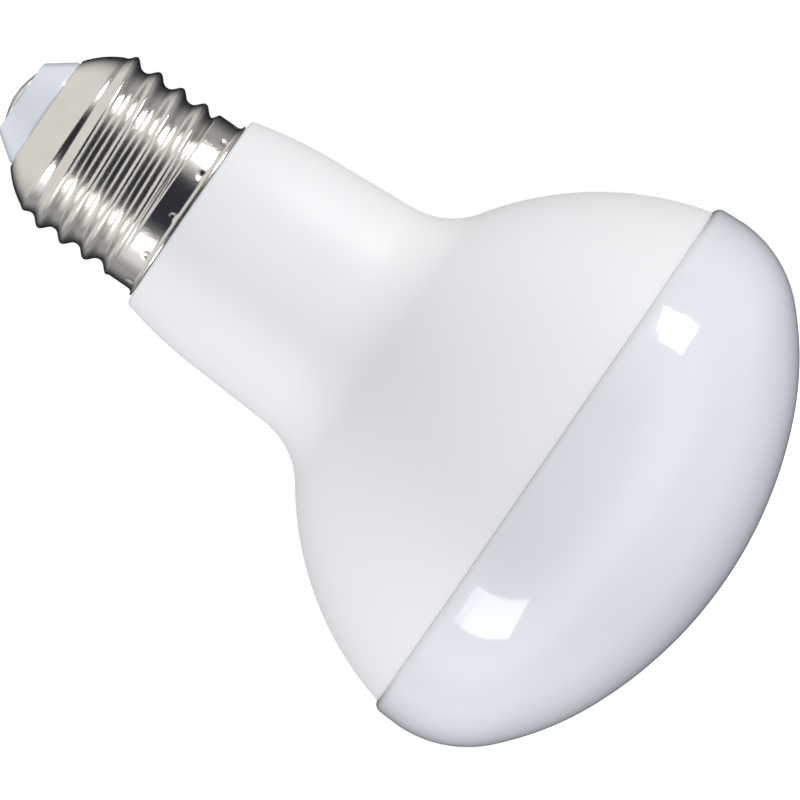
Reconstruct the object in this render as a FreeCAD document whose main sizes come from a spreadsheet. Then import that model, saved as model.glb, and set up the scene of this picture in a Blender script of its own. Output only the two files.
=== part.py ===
import FreeCAD, Part
import math
import os
import types
import Sketcher

# A reflector lamp with a screw cap, in millimetres. The lamp's axis is Z, the origin is the
# middle of the diffuser's front, and the cap points up, as the lamp hangs in a downlight.

SIZES = {
    # Diffuser: an opal dome moulded in one piece, widest a little below its rim.
    "lamp_dia": 80.0,
    "widest_height": 24.7,
    "side_radius": 16.24,
    "front_angle": 23.93,
    "side_angle": 45.67,
    "collar_rise": 4.05,
    "collar_lean": 0.15,
    "collar_round": 1.2,
    "collar_wall": 1.2,
    "diffuser_wall": 1.6,
    "tongue_wall": 1.5,
    # Housing: one plastic moulding with a flared body, a waist, a neck and a spigot.
    "seam_gap": 0.25,
    "rim_step": 1.25,
    "rim_land": 2.75,
    "flare_radius": 43.0,
    "flare_drop": 10.7,
    "waist_radius": 10.5,
    "neck_dia": 32.65,
    "neck_draft": 3.57,
    "neck_length": 56.3,
    "neck_end_run": 11.7,
    "neck_end_inset": 1.875,
    "neck_round": 0.6,
    "housing_wall": 2.0,
    "neck_floor": 2.0,
    "spigot_wall": 1.6,
    "rail_width": 1.2,
    "rail_reach": 1.6,
    "rail_length": 21.0,
    "boss_dia": 5.2,
    "boss_roof": 0.8,
    "boss_rib": 1.2,
    # Cap: a rolled screw shell on the spigot, with an insulator and a centre contact.
    "thread_dia": 26.1,
    "thread_depth": 1.1,
    "thread_pitch": 3.63,
    "thread_start": 2.78,
    "crest_width": 1.5,
    "crest_round": 0.4,
    "ridge_width": 3.1,
    "sheet": 0.35,
    "skirt_step": 0.8,
    "skirt_height": 4.6,
    "dimple_dia": 1.2,
    "dimple_depth": 0.2,
    "dimple_height": 1.75,
    "lip_reach": 0.85,
    "lip_height": 0.45,
    "lip_flare": 0.6,
    "shell_angle": 22,
    "shell_length": 22.7,
    "shoulder_height": 3.7,
    "shoulder_inset": 3.25,
    "shoulder_bulge": 0.39,
    "shell_hole_inset": 0.75,
    "insulator_neck": 0.45,
    "insulator_cone": 3.55,
    "insulator_cone_inset": 2.65,
    "insulator_recess": 3.2,
    "insulator_taper": 1.6,
    "contact_inset": 1.6,
    "contact_edge": 0.1,
    "contact_height": 0.8,
    "contact_flat_dia": 1.8,
    "contact_bulge": 0.06,
    "shank_dia": 2.4,
    "shank_length": 6.6,
    # Light engine: an aluminium plate and a board of diodes that face the diffuser.
    "ledge_height": 4.4,
    "plate_thick": 1.4,
    "board_thick": 1.6,
    "slot_width": 8.0,
    "slot_depth": 3.0,
    "led_long": 3.5,
    "led_wide": 2.8,
    "led_thick": 0.7,
    "led_corner": 0.55,
    "outer_ring_inset": 10.0,
    "inner_ring_dia": 24.0,
    "screw_inset": 2.5,
    "screw_dia": 2.8,
    "screw_head_dia": 5.0,
    "screw_head_height": 1.7,
    "screw_head_round": 0.75,
    "screw_length": 6.6,
    # Driver: a board that stands in the neck with its parts on both faces.
    "driver_thick": 1.0,
    "driver_lift": 3.0,
    "driver_drop": 5.85,
    "input_can_length": 16.0,
    "output_can_dia": 8.0,
    "output_can_length": 12.0,
    "can_foot": 1.6,
    "can_groove": 0.45,
    "choke_dia": 9.0,
    "choke_height": 9.0,
    "choke_hub_dia": 4.4,
    "choke_rim": 1.2,
    "choke_slack": 0.3,
    "choke_lift": 17.0,
    "film_deep": 4.5,
    "film_tall": 9.5,
    "bridge_wide": 4.7,
    "bridge_deep": 2.5,
    "bridge_tall": 4.0,
    "chip_wide": 4.9,
    "chip_deep": 1.5,
    "chip_tall": 3.9,
    "chip_drop": 9.6,
    "diode_wide": 4.3,
    "diode_deep": 2.3,
    "diode_tall": 3.6,
    "fuse_dia": 3.2,
    "fuse_waist_dia": 2.7,
    "fuse_length": 8.5,
    "fuse_cap": 1.4,
    "fuse_taper": 0.7,
    "fuse_lift": 5.0,
    "wire_dia": 1.2,
    "strand_dia": 0.7,
    "neutral_tail": 9.0,
    "clamp_length": 7.2,
    "pin_side": 0.64,
    "pin_pitch": 2.54,
    "pin_plunge": 1.27,
    "pin_joint": 3.8,
    "socket_height": 2.0,
    # Clearances between pieces that are fitted together.
    "slip": 0.1,
    "fit": 0.05,
    "tongue_gap": 0.15,
    "board_gap": 0.4,
    "rail_gap": 0.25,
    "spigot_gap": 0.35,
    "can_gap": 0.25,
    "can_clearance": 1.95,
    "film_gap": 0.7,
    "gate_room": 0.4,
    # How far a cut, or a form that is joined on, reaches past the face that it meets.
    "overlap": 1.0,
}

OUTER_LEDS = 10
INNER_LEDS = 5
SCREWS = 3
DIMPLES = 12

doc = FreeCAD.newDocument("ReflectorLamp")
sheet = doc.addObject("Spreadsheet::Sheet", "Sizes")
for row, (alias, millimetres) in enumerate(SIZES.items(), start=1):
    sheet.set(f"A{row}", alias)
    sheet.set(f"B{row}", str(millimetres))
    sheet.setAlias(f"B{row}", alias)
doc.recompute()


class Size:
    """A size: its value now, and the sheet expression that keeps a feature bound to it."""

    def __init__(self, value, text):
        self.value = float(value)
        self.text = text

    def __add__(self, other):
        other = as_size(other)
        return Size(self.value + other.value, f"({self.text} + {other.text})")

    def __sub__(self, other):
        other = as_size(other)
        return Size(self.value - other.value, f"({self.text} - {other.text})")

    def __mul__(self, other):
        other = as_size(other)
        return Size(self.value * other.value, f"({self.text} * {other.text})")

    def __truediv__(self, other):
        other = as_size(other)
        return Size(self.value / other.value, f"({self.text} / {other.text})")

    def __neg__(self):
        return Size(-self.value, f"(0 - {self.text})")

    def root(self):
        return Size(math.sqrt(self.value), f"sqrt({self.text})")

    def sin(self):
        return Size(math.sin(math.radians(self.value)), f"sin({self.text})")

    def cos(self):
        return Size(math.cos(math.radians(self.value)), f"cos({self.text})")


def as_size(item):
    """Turn a plain number into a Size, and leave a Size as it is."""
    return item if isinstance(item, Size) else Size(item, str(item))


s = types.SimpleNamespace(**{name: Size(sheet.get(name), f"Sizes.{name}") for name in SIZES})
ZERO = as_size(0)

# Heights that more than one piece shares.
collar_z = s.widest_height + s.collar_rise
rim_z = collar_z + s.seam_gap
ledge_z = rim_z + s.ledge_height
plate_z = ledge_z - s.plate_thick
board_z = plate_z - s.board_thick
neck_z = rim_z + s.neck_length
floor_z = neck_z - s.neck_floor
shell_z = neck_z + s.shell_length
shoulder_z = shell_z - s.shoulder_height
cap_end_z = shell_z + s.insulator_neck + s.insulator_cone
spigot_z = shoulder_z - s.sheet - s.slip
driver_top_z = spigot_z - s.driver_drop

# Radii that more than one piece shares.
dome = s.lamp_dia / 2
rim = dome - s.rim_step
seat = rim - s.rim_land
tongue = seat - s.slip
board_edge = tongue - s.tongue_wall - s.board_gap
screw_ring = board_edge - s.screw_inset
neck_end = s.neck_dia / 2 - s.neck_end_inset
neck_bore = neck_end - s.housing_wall
crest = s.thread_dia / 2
thread_root = crest - s.thread_depth
skirt = thread_root + s.skirt_step
lip = skirt + s.lip_reach
shoulder = thread_root - s.shoulder_inset
shell_hole = shoulder - s.shell_hole_inset
spigot_out = thread_root - s.sheet - s.fit
spigot_in = spigot_out - s.spigot_wall
driver_edge = neck_bore - s.rail_gap


def make_body(label):
    """A body whose label names the piece's file."""
    body = doc.addObject("PartDesign::Body", label)
    body.Label = label
    return body


def origin_item(body, role):
    """One of the body's own planes or axes."""
    return next(item for item in body.Origin.OriginFeatures if item.Role == role)


def make_sketch(body, name, plane="XZ_Plane", offset=None):
    """A sketch on one of the body's own planes, moved along that plane's normal by offset."""
    sketch = body.newObject("Sketcher::SketchObject", name)
    sketch.AttachmentSupport = (origin_item(body, plane), "")
    sketch.MapMode = "FlatFace"
    if offset is not None:
        sketch.AttachmentOffset = FreeCAD.Placement(
            FreeCAD.Vector(0, 0, offset.value), FreeCAD.Rotation()
        )
        sketch.setExpression("AttachmentOffset.Base.z", offset.text)
    doc.recompute()
    return sketch


def limit(sketch, *constraint, size=None):
    """Add one constraint and, where it has a size, bind it to the sheet."""
    index = sketch.addConstraint(Sketcher.Constraint(*constraint))
    if size is not None:
        sketch.setExpression(f"Constraints[{index}]", size.text)


def place_point(sketch, geo, end, x, y):
    """Hold one point of the sketch at x and y, measured from the sketch's origin."""
    for kind, axis, size in (("DistanceX", -2, x), ("DistanceY", -1, y)):
        if size.text == ZERO.text:
            limit(sketch, "PointOnObject", geo, end, axis)
        elif size.value < 0:
            opposite = -size
            limit(sketch, kind, geo, end, -1, 1, opposite.value, size=opposite)
        else:
            limit(sketch, kind, -1, 1, geo, end, size.value, size=size)


def flat(x, y):
    return FreeCAD.Vector(x.value, y.value, 0)


def ends_of(sketch, geo, start):
    """The numbers of a side's first and last point, as the outline runs."""
    first = sketch.getPoint(geo, 1)
    away = (first - start).Length
    return (1, 2) if away < (sketch.getPoint(geo, 2) - start).Length else (2, 1)


def draw_outline(sketch, corners, arcs=None):
    """A closed outline. A side is straight, or an arc through the point that arcs gives it."""
    arcs = arcs or {}
    count = len(corners)
    sides = []
    for i, corner in enumerate(corners):
        start = flat(*corner)
        stop = flat(*corners[(i + 1) % count])
        if i in arcs:
            shape = Part.Arc(start, flat(*arcs[i]), stop)
        else:
            shape = Part.LineSegment(start, stop)
        geo = sketch.addGeometry(shape, False)
        sides.append((geo, *ends_of(sketch, geo, start)))
    for i, (geo, first, last) in enumerate(sides):
        after, after_first, _ = sides[(i + 1) % count]
        limit(sketch, "Coincident", geo, last, after, after_first)
        place_point(sketch, geo, first, *corners[i])
        if i in arcs:
            through = sketch.addGeometry(Part.Point(flat(*arcs[i])), True)
            place_point(sketch, through, 1, *arcs[i])
            limit(sketch, "PointOnObject", through, 1, geo)
    doc.recompute()


def turn(body, kind, name, sketch):
    """Revolve or groove a sketch all the way about the lamp's axis."""
    feature = body.newObject(kind, name)
    feature.Profile = sketch
    feature.ReferenceAxis = (sketch, ["V_Axis"])
    feature.Angle = 360
    doc.recompute()
    return feature


def revolve(body, name, corners, arcs=None):
    sketch = make_sketch(body, name + "_sketch")
    draw_outline(sketch, corners, arcs)
    return turn(body, "PartDesign::Revolution", name, sketch)


def groove(body, name, corners, arcs=None):
    sketch = make_sketch(body, name + "_sketch")
    draw_outline(sketch, corners, arcs)
    return turn(body, "PartDesign::Groove", name, sketch)


def extrude(body, kind, name, sketch, length, midplane=False, reverse=False):
    """Pad or pocket a sketch by a length that is bound to the sheet."""
    feature = body.newObject(kind, name)
    feature.Profile = sketch
    feature.Length = length.value
    feature.setExpression("Length", length.text)
    feature.Midplane = midplane
    feature.Reversed = reverse
    doc.recompute()
    return feature


def repeat(body, name, features, count):
    """Copy features evenly about the lamp's axis."""
    pattern = body.newObject("PartDesign::PolarPattern", name)
    pattern.Originals = features
    pattern.Axis = (origin_item(body, "Z_Axis"), [""])
    pattern.Angle = 360
    pattern.Occurrences = count
    body.Tip = pattern
    doc.recompute()


def rectangle(sketch, x_low, x_high, y_low, y_high):
    draw_outline(
        sketch, [(x_low, y_low), (x_high, y_low), (x_high, y_high), (x_low, y_high)]
    )


def circle(sketch, x, y, radius):
    geo = sketch.addGeometry(
        Part.Circle(flat(x, y), FreeCAD.Vector(0, 0, 1), radius.value), False
    )
    place_point(sketch, geo, 3, x, y)
    limit(sketch, "Radius", geo, radius.value, size=radius)
    doc.recompute()


def move(body, x=ZERO, y=ZERO, z=ZERO):
    """Bind a piece's place to the sheet."""
    body.Placement.Base = FreeCAD.Vector(x.value, y.value, z.value)
    for axis, size in (("x", x), ("y", y), ("z", z)):
        body.setExpression(f"Placement.Base.{axis}", size.text)


def unit(vector):
    return FreeCAD.Vector(vector).normalize()


def bulge(start, stop, height):
    """The middle of an arc from start to stop that stands out by height on their right."""
    across = stop[0] - start[0]
    up = stop[1] - start[1]
    chord = (across * across + up * up).root()
    middle_x = (start[0] + stop[0]) / 2 + up / chord * height
    middle_z = (start[1] + stop[1]) / 2 - across / chord * height
    return middle_x, middle_z


# Diffuser


def dome_radii():
    """The radii of the front and the middle arc.

    The three arcs have given angles, and end at the widest ring with an upright side. So
    their radii add up to that ring's own radius and to its height.
    """
    side_start = -s.side_angle + 90
    front_sin = s.front_angle.sin()
    front_cos = s.front_angle.cos()
    across = dome - s.side_radius * (-side_start.sin() + 1)
    up = s.widest_height - s.side_radius * side_start.cos()
    middle_across = side_start.sin() - front_sin
    middle_up = front_cos - side_start.cos()
    front_up = -front_cos + 1
    scale = front_sin * middle_up - middle_across * front_up
    front = (across * middle_up - up * middle_across) / scale
    middle = (up * front_sin - across * front_up) / scale
    return front, middle


def draw_dome(sketch, inset):
    """Three arcs that run into each other, from the middle of the front to the widest ring.

    inset draws the same curve that far inside the outer skin. Returns the first arc and its
    lower end, and the last arc and its upper end.
    """
    outer_front, outer_middle = dome_radii()
    front = outer_front - inset
    middle = outer_middle - inset
    side = s.side_radius - inset
    lean = math.radians(s.front_angle.value)
    outward = FreeCAD.Vector(math.sin(lean), -math.cos(lean), 0)
    late = math.radians(90 - s.side_angle.value)
    to_side = FreeCAD.Vector(math.sin(late), -math.cos(late), 0)
    front_centre = FreeCAD.Vector(0, outer_front.value, 0)
    middle_centre = front_centre + outward * (front.value - middle.value)
    side_centre = middle_centre + to_side * (middle.value - side.value)

    apex = front_centre - FreeCAD.Vector(0, front.value, 0)
    half = unit(FreeCAD.Vector(0, -1, 0) + outward)
    front_way = front_centre + half * front.value
    first_joint = front_centre + outward * front.value
    second_joint = middle_centre + to_side * middle.value
    middle_way = middle_centre + unit(outward + to_side) * middle.value
    side_way = side_centre + unit(to_side + FreeCAD.Vector(1, 0, 0)) * side.value
    ring = flat(dome - inset, s.widest_height)

    first = sketch.addGeometry(Part.Arc(apex, front_way, first_joint), False)
    second = sketch.addGeometry(Part.Arc(first_joint, middle_way, second_joint), False)
    third = sketch.addGeometry(Part.Arc(second_joint, side_way, ring), False)
    a, b = ends_of(sketch, first, apex)
    c, d = ends_of(sketch, second, first_joint)
    e, f = ends_of(sketch, third, second_joint)
    limit(sketch, "Tangent", first, b, second, c)
    limit(sketch, "Tangent", second, d, third, e)
    limit(sketch, "PointOnObject", first, a, -2)
    place_point(sketch, first, 3, ZERO, outer_front)
    limit(sketch, "Radius", first, front.value, size=front)
    limit(sketch, "Radius", second, middle.value, size=middle)
    joint_x = front * s.front_angle.sin()
    limit(sketch, "DistanceX", -1, 1, first, b, joint_x.value, size=joint_x)
    place_point(sketch, third, f, dome - inset, s.widest_height)
    height = s.widest_height
    limit(sketch, "DistanceY", -1, 1, third, 3, height.value, size=height)
    return first, a, third, f


def close_outline(sketch, geo, end, corners, arcs, back, back_end):
    """Straight sides and arcs from one drawn curve through the corners to another curve."""
    here = sketch.getPoint(geo, end)
    last_geo, last_end = geo, end
    spots = [flat(*corner) for corner in corners] + [sketch.getPoint(back, back_end)]
    for i, spot in enumerate(spots):
        if i in arcs:
            shape = Part.Arc(here, flat(*arcs[i]), spot)
        else:
            shape = Part.LineSegment(here, spot)
        side = sketch.addGeometry(shape, False)
        first, last = ends_of(sketch, side, here)
        limit(sketch, "Coincident", last_geo, last_end, side, first)
        if i < len(corners):
            place_point(sketch, side, last, *corners[i])
        else:
            limit(sketch, "Coincident", side, last, back, back_end)
        if i in arcs:
            through = sketch.addGeometry(Part.Point(flat(*arcs[i])), True)
            place_point(sketch, through, 1, *arcs[i])
            limit(sketch, "PointOnObject", through, 1, side)
        here = spot
        last_geo, last_end = side, last
    doc.recompute()


def diffuser():
    """The opal dome, with the rounded collar and the tongue that plugs into the housing."""
    body = make_body("diffuser")
    edge = dome - s.collar_lean
    round_z = collar_z - s.collar_round
    tongue_z = plate_z - s.tongue_gap
    collar = [(edge, round_z), (edge - s.collar_round, collar_z)]
    quarter_bulge = s.collar_round * (1 - math.sqrt(0.5))

    skin = make_sketch(body, "skin_sketch")
    first, apex, third, ring = draw_dome(skin, ZERO)
    corners = [*collar, (tongue, collar_z), (tongue, tongue_z), (ZERO, tongue_z)]
    arcs = {1: bulge(*collar, quarter_bulge)}
    close_outline(skin, third, ring, corners, arcs, first, apex)
    turn(body, "PartDesign::Revolution", "skin", skin)

    hollow = make_sketch(body, "hollow_sketch")
    first, apex, third, ring = draw_dome(hollow, s.diffuser_wall)
    above = tongue_z + s.overlap
    roof_z = collar_z - s.collar_wall
    corners = [
        (dome - s.diffuser_wall, roof_z - s.collar_wall),
        (tongue - s.tongue_wall, roof_z),
        (tongue - s.tongue_wall, above),
        (ZERO, above),
    ]
    close_outline(hollow, third, ring, corners, {}, first, apex)
    turn(body, "PartDesign::Groove", "hollow", hollow)
    return body


# Housing


def draw_flare(sketch, inset, low_z, high):
    """The flared wall, the waist and the neck as one smooth curve, inset inside the skin.

    It starts at low_z and ends at the point high. Returns the first and last curve and
    their outer ends.
    """
    flare = s.flare_radius - inset
    waist = s.waist_radius + inset
    flare_x = rim - (s.flare_radius * s.flare_radius - s.flare_drop * s.flare_drop).root()
    flare_y = rim_z - s.flare_drop
    bend_x = s.neck_dia / 2 - inset
    bend_y = neck_z - s.neck_end_run

    centre = flat(flare_x, flare_y)
    lean = math.radians(s.neck_draft.value)
    along = FreeCAD.Vector(-math.sin(lean), math.cos(lean), 0)
    out = FreeCAD.Vector(math.cos(lean), math.sin(lean), 0)
    bend = flat(bend_x, bend_y)
    start = bend + out * waist.value
    gap = start - centre
    reach = flare.value + waist.value
    half = gap.dot(along)
    slide = -half - math.sqrt(half**2 - gap.dot(gap) + reach**2)
    other = -half + math.sqrt(half**2 - gap.dot(gap) + reach**2)
    waist_centre = start + along * max(slide, other)
    towards = unit(waist_centre - centre)
    flare_end = centre + towards * flare.value
    neck_start = waist_centre - out * waist.value
    low_x = flare_x.value + math.sqrt(flare.value**2 - (low_z.value - flare_y.value) ** 2)
    low = FreeCAD.Vector(low_x, low_z.value, 0)
    flare_way = centre + unit(unit(low - centre) + towards) * flare.value
    waist_way = waist_centre - unit(towards + out) * waist.value

    end = flat(*high)
    chord = end - bend
    sideways = chord.dot(out)
    bow = chord.dot(chord) / (2 * sideways)
    bow_centre = bend + out * bow
    bow_way = bow_centre + unit(unit(bend - bow_centre) + unit(end - bow_centre)) * abs(bow)

    first = sketch.addGeometry(Part.Arc(low, flare_way, flare_end), False)
    second = sketch.addGeometry(Part.Arc(flare_end, waist_way, neck_start), False)
    third = sketch.addGeometry(Part.LineSegment(neck_start, bend), False)
    fourth = sketch.addGeometry(Part.Arc(bend, bow_way, end), False)
    a, b = ends_of(sketch, first, low)
    c, d = ends_of(sketch, second, flare_end)
    e, f = ends_of(sketch, fourth, bend)
    limit(sketch, "Tangent", first, b, second, c)
    limit(sketch, "Tangent", second, d, third, 1)
    limit(sketch, "Tangent", third, 2, fourth, e)
    place_point(sketch, first, 3, flare_x, flare_y)
    limit(sketch, "Radius", first, flare.value, size=flare)
    limit(sketch, "DistanceY", -1, 1, first, a, low_z.value, size=low_z)
    limit(sketch, "Radius", second, waist.value, size=waist)
    place_point(sketch, third, 2, bend_x, bend_y)
    draft = s.neck_draft + 90
    limit(sketch, "Angle", third, math.radians(draft.value), size=draft)
    place_point(sketch, fourth, f, *high)
    return first, a, fourth, f


def round_edge(shape, radius, height):
    """The name of the round edge that has this radius at this height."""
    for i, edge in enumerate(shape.Edges, start=1):
        if not isinstance(edge.Curve, Part.Circle):
            continue
        away = abs(edge.Curve.Radius - radius.value) + abs(edge.Curve.Center.z - height.value)
        if away < s.fit.value:
            return f"Edge{i}"
    raise RuntimeError("no such edge")


def housing():
    """The white moulding: flare, waist and neck, with the spigot that carries the cap."""
    body = make_body("housing")
    skin = make_sketch(body, "skin_sketch")
    skin_end = (neck_end, neck_z)
    first, low, last, high = draw_flare(skin, ZERO, rim_z, skin_end)
    close_outline(skin, last, high, [(ZERO, neck_z), (ZERO, rim_z)], {}, first, low)
    skin_turn = turn(body, "PartDesign::Revolution", "skin", skin)
    rounding = body.newObject("PartDesign::Fillet", "neck_rounding")
    rounding.Base = (skin_turn, [round_edge(skin_turn.Shape, *skin_end)])
    rounding.Radius = s.neck_round.value
    rounding.setExpression("Radius", s.neck_round.text)
    doc.recompute()

    hollow = make_sketch(body, "hollow_sketch")
    below = rim_z - s.overlap
    first, low, last, high = draw_flare(hollow, s.housing_wall, below, (neck_bore, floor_z))
    close_outline(hollow, last, high, [(ZERO, floor_z), (ZERO, below)], {}, first, low)
    turn(body, "PartDesign::Groove", "hollow", hollow)

    # The spigot steps in where the shell's skirt ends, and is open at the top for the wires.
    skirt_out = skirt - s.sheet - s.fit
    step_z = neck_z + s.skirt_height - s.sheet
    revolve(
        body,
        "spigot",
        [
            (spigot_in, floor_z),
            (skirt_out, floor_z),
            (skirt_out, step_z - (skirt_out - spigot_out)),
            (spigot_out, step_z),
            (spigot_out, spigot_z),
            (spigot_in, spigot_z),
        ],
    )
    groove(
        body,
        "wire_way",
        [
            (ZERO, floor_z - s.overlap),
            (spigot_in, floor_z - s.overlap),
            (spigot_in, neck_z + s.overlap),
            (ZERO, neck_z + s.overlap),
        ],
    )

    # Screw bosses behind the plate, each with a rib to the wall.
    screw_depth = s.screw_length - s.board_thick - s.plate_thick
    boss_height = screw_depth + s.boss_roof
    boss = make_sketch(body, "boss_sketch", "XY_Plane", ledge_z)
    circle(boss, screw_ring, ZERO, s.boss_dia / 2)
    boss_pad = extrude(body, "PartDesign::Pad", "boss", boss, boss_height)
    rib = make_sketch(body, "rib_sketch", "XY_Plane", ledge_z)
    rib_start = screw_ring + s.screw_dia / 2 + s.slip
    rectangle(rib, rib_start, rim, -s.boss_rib / 2, s.boss_rib / 2)
    rib_pad = extrude(body, "PartDesign::Pad", "rib", rib, boss_height)
    repeat(body, "bosses", [boss_pad, rib_pad], SCREWS)

    # Two rails on each side of the neck, which hold the driver board's edges.
    rail_start = floor_z - s.rail_length
    rails = make_sketch(body, "rail_sketch", "XY_Plane", rail_start)
    near = s.driver_thick / 2 + s.slip
    far = near + s.rail_width
    inner = driver_edge - s.rail_reach
    outer = s.neck_dia / 2 - s.housing_wall / 2
    for x_low, x_high in ((inner, outer), (-outer, -inner)):
        for y_low, y_high in ((near, far), (-far, -near)):
            rectangle(rails, x_low, x_high, y_low, y_high)
    extrude(body, "PartDesign::Pad", "rails", rails, s.rail_length + s.neck_floor / 2)

    # What stands out of the skin is trimmed away along the same curve.
    trim = make_sketch(body, "trim_sketch")
    first, low, last, high = draw_flare(trim, ZERO, rim_z, skin_end)
    beyond = s.lamp_dia
    close_outline(trim, last, high, [(beyond, neck_z), (beyond, rim_z)], {}, first, low)
    turn(body, "PartDesign::Groove", "trim", trim)

    # The seat for the plate, the board and the diffuser's tongue.
    groove(
        body,
        "seat",
        [(ZERO, below), (seat, below), (seat, ledge_z), (ZERO, ledge_z)],
    )
    pilot = make_sketch(body, "pilot_sketch", "XY_Plane", ledge_z)
    circle(pilot, screw_ring, ZERO, s.screw_dia / 2 + s.fit)
    depth = screw_depth + s.slip
    hole = extrude(body, "PartDesign::Pocket", "pilot", pilot, depth, reverse=True)
    repeat(body, "pilots", [hole], SCREWS)

    # A notch in the spigot's end, where the neutral wire is clamped under the shell.
    notch = make_sketch(body, "notch_sketch", "YZ_Plane")
    notch_in = spigot_out - s.strand_dia - s.slip
    above = spigot_z + s.overlap
    rectangle(notch, -(spigot_out + s.overlap), -notch_in, clamp_z(), above)
    gate = make_sketch(body, "gate_sketch", "YZ_Plane")
    gate_z = spigot_z - s.strand_dia - s.gate_room
    rectangle(gate, -notch_in, -(spigot_in - s.overlap), gate_z, above)
    width = s.strand_dia + s.slip * 2
    extrude(body, "PartDesign::Pocket", "notch", notch, width, midplane=True)
    extrude(body, "PartDesign::Pocket", "gate", gate, width, midplane=True)
    return body


def clamp_z():
    """Where the clamped end of the neutral wire stops."""
    return spigot_z - s.clamp_length


# Cap


def screw_shell():
    """Thin plated sheet, rolled to a rounded right-hand thread, with a skirt and a lip."""
    body = make_body("screw_shell")
    skirt_z = neck_z + s.skirt_height
    lip_z = neck_z + s.lip_height
    flare_z = lip_z + s.lip_flare
    shoulder_foot = (thread_root, shoulder_z)
    shoulder_end = (shoulder, shell_z)
    revolve(
        body,
        "core",
        [
            (ZERO, neck_z),
            (lip, neck_z),
            (lip, lip_z),
            (skirt, flare_z),
            (skirt, skirt_z),
            (thread_root, skirt_z + s.skirt_step),
            shoulder_foot,
            shoulder_end,
            (ZERO, shell_z),
        ],
        {6: bulge(shoulder_foot, shoulder_end, s.shoulder_bulge)},
    )

    # The thread's ridge, wound from the skirt's foot to the shoulder.
    first_crest = neck_z + s.thread_start
    flat_out = crest - s.crest_round
    buried = thread_root - s.overlap
    ridge = make_sketch(body, "ridge_sketch")
    draw_outline(
        ridge,
        [
            (buried, first_crest - s.ridge_width / 2),
            (thread_root, first_crest - s.ridge_width / 2),
            (flat_out, first_crest - s.crest_width / 2),
            (flat_out, first_crest + s.crest_width / 2),
            (thread_root, first_crest + s.ridge_width / 2),
            (buried, first_crest + s.ridge_width / 2),
        ],
        {2: (crest, first_crest)},
    )
    rise = s.shell_length - s.thread_start - s.ridge_width / 2 - s.slip * 2
    helix = body.newObject("PartDesign::AdditiveHelix", "thread")
    helix.Profile = ridge
    helix.ReferenceAxis = (ridge, ["V_Axis"])
    helix.Mode = 0
    helix.Pitch = s.thread_pitch.value
    helix.setExpression("Pitch", s.thread_pitch.text)
    helix.Height = rise.value
    helix.setExpression("Height", rise.text)
    doc.recompute()

    # The ridge runs out into the skirt below and into the shoulder above.
    clear = crest + s.slip
    beyond = lip + s.overlap
    groove(
        body,
        "run_out",
        [
            (lip, neck_z),
            (lip, lip_z),
            (skirt, flare_z),
            (skirt, skirt_z),
            (clear, skirt_z + s.thread_pitch / 2),
            (clear, shoulder_z - s.thread_pitch / 4),
            (thread_root, shoulder_z + s.thread_pitch / 5),
            (buried, shell_z),
            (beyond, shell_z),
            (beyond, neck_z),
        ],
    )

    # The bore keeps the sheet's thickness at the skirt, at the thread's root and at the shoulder.
    inner_skirt = skirt - s.sheet
    inner_root = thread_root - s.sheet
    under = shell_z - s.sheet
    inner_foot = (inner_root, shoulder_z - s.sheet / 2)
    inner_end = (shoulder - s.sheet / 2, under)
    groove(
        body,
        "bore",
        [
            (ZERO, neck_z - s.overlap),
            (inner_skirt, neck_z - s.overlap),
            (inner_skirt, skirt_z - s.sheet),
            (inner_root, skirt_z - s.sheet + s.skirt_step),
            inner_foot,
            inner_end,
            (shell_hole, under),
            (shell_hole, shell_z + s.overlap),
            (ZERO, shell_z + s.overlap),
        ],
        {4: bulge(inner_foot, inner_end, s.shoulder_bulge)},
    )

    # Punched dimples round the skirt hold the shell on the spigot.
    dent = make_sketch(body, "dimple_sketch", "YZ_Plane", skirt)
    circle(dent, ZERO, neck_z + s.dimple_height, s.dimple_dia / 2)
    punch = extrude(body, "PartDesign::Pocket", "dimple", dent, s.dimple_depth)
    repeat(body, "dimples", [punch], DIMPLES)
    body.Placement.Rotation = FreeCAD.Rotation(FreeCAD.Vector(0, 0, 1), s.shell_angle.value)
    body.setExpression("Placement.Rotation.Angle", s.shell_angle.text)
    return body


def cap_insulator():
    """The pale plastic cone that holds the shell and the centre contact apart."""
    body = make_body("cap_insulator")
    neck = shell_hole - s.fit
    bottom = spigot_z + s.slip
    gap = s.sheet + s.fit
    wide = thread_root - gap
    foot = (wide, shoulder_z - gap / 2)
    under = (shoulder - gap / 2, shell_z - gap)
    roof_z = bottom + s.insulator_recess
    mouth = wide - s.spigot_wall
    hole = s.shank_dia / 2 + s.fit
    revolve(
        body,
        "insulator",
        [
            (hole, roof_z),
            (mouth - s.insulator_taper, roof_z),
            (mouth, bottom),
            (wide, bottom),
            foot,
            under,
            (neck, shell_z - gap),
            (neck, shell_z + s.insulator_neck),
            (shell_hole - s.insulator_cone_inset, cap_end_z),
            (hole, cap_end_z),
        ],
        {4: bulge(foot, under, s.shoulder_bulge)},
    )
    return body


def centre_contact():
    """A nail with a low domed head, pressed into the insulator onto the live wire."""
    body = make_body("centre_contact")
    head = shell_hole - s.insulator_cone_inset - s.contact_inset
    top = cap_end_z + s.contact_height
    rim_point = (head, cap_end_z + s.contact_edge)
    flat_point = (s.contact_flat_dia / 2, top)
    shank = s.shank_dia / 2
    revolve(
        body,
        "contact",
        [
            (ZERO, cap_end_z - s.shank_length),
            (shank, cap_end_z - s.shank_length),
            (shank, cap_end_z),
            (head, cap_end_z),
            rim_point,
            flat_point,
            (ZERO, top),
        ],
        {4: bulge(rim_point, flat_point, s.contact_bulge)},
    )
    return body


# Light engine


def slot_outline(sketch):
    """The slot that the driver's two pins pass through."""
    half = s.slot_width / 2
    low = s.driver_thick / 2 - s.slip * 2
    rectangle(sketch, -half, half, low, low + s.slot_depth)


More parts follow.
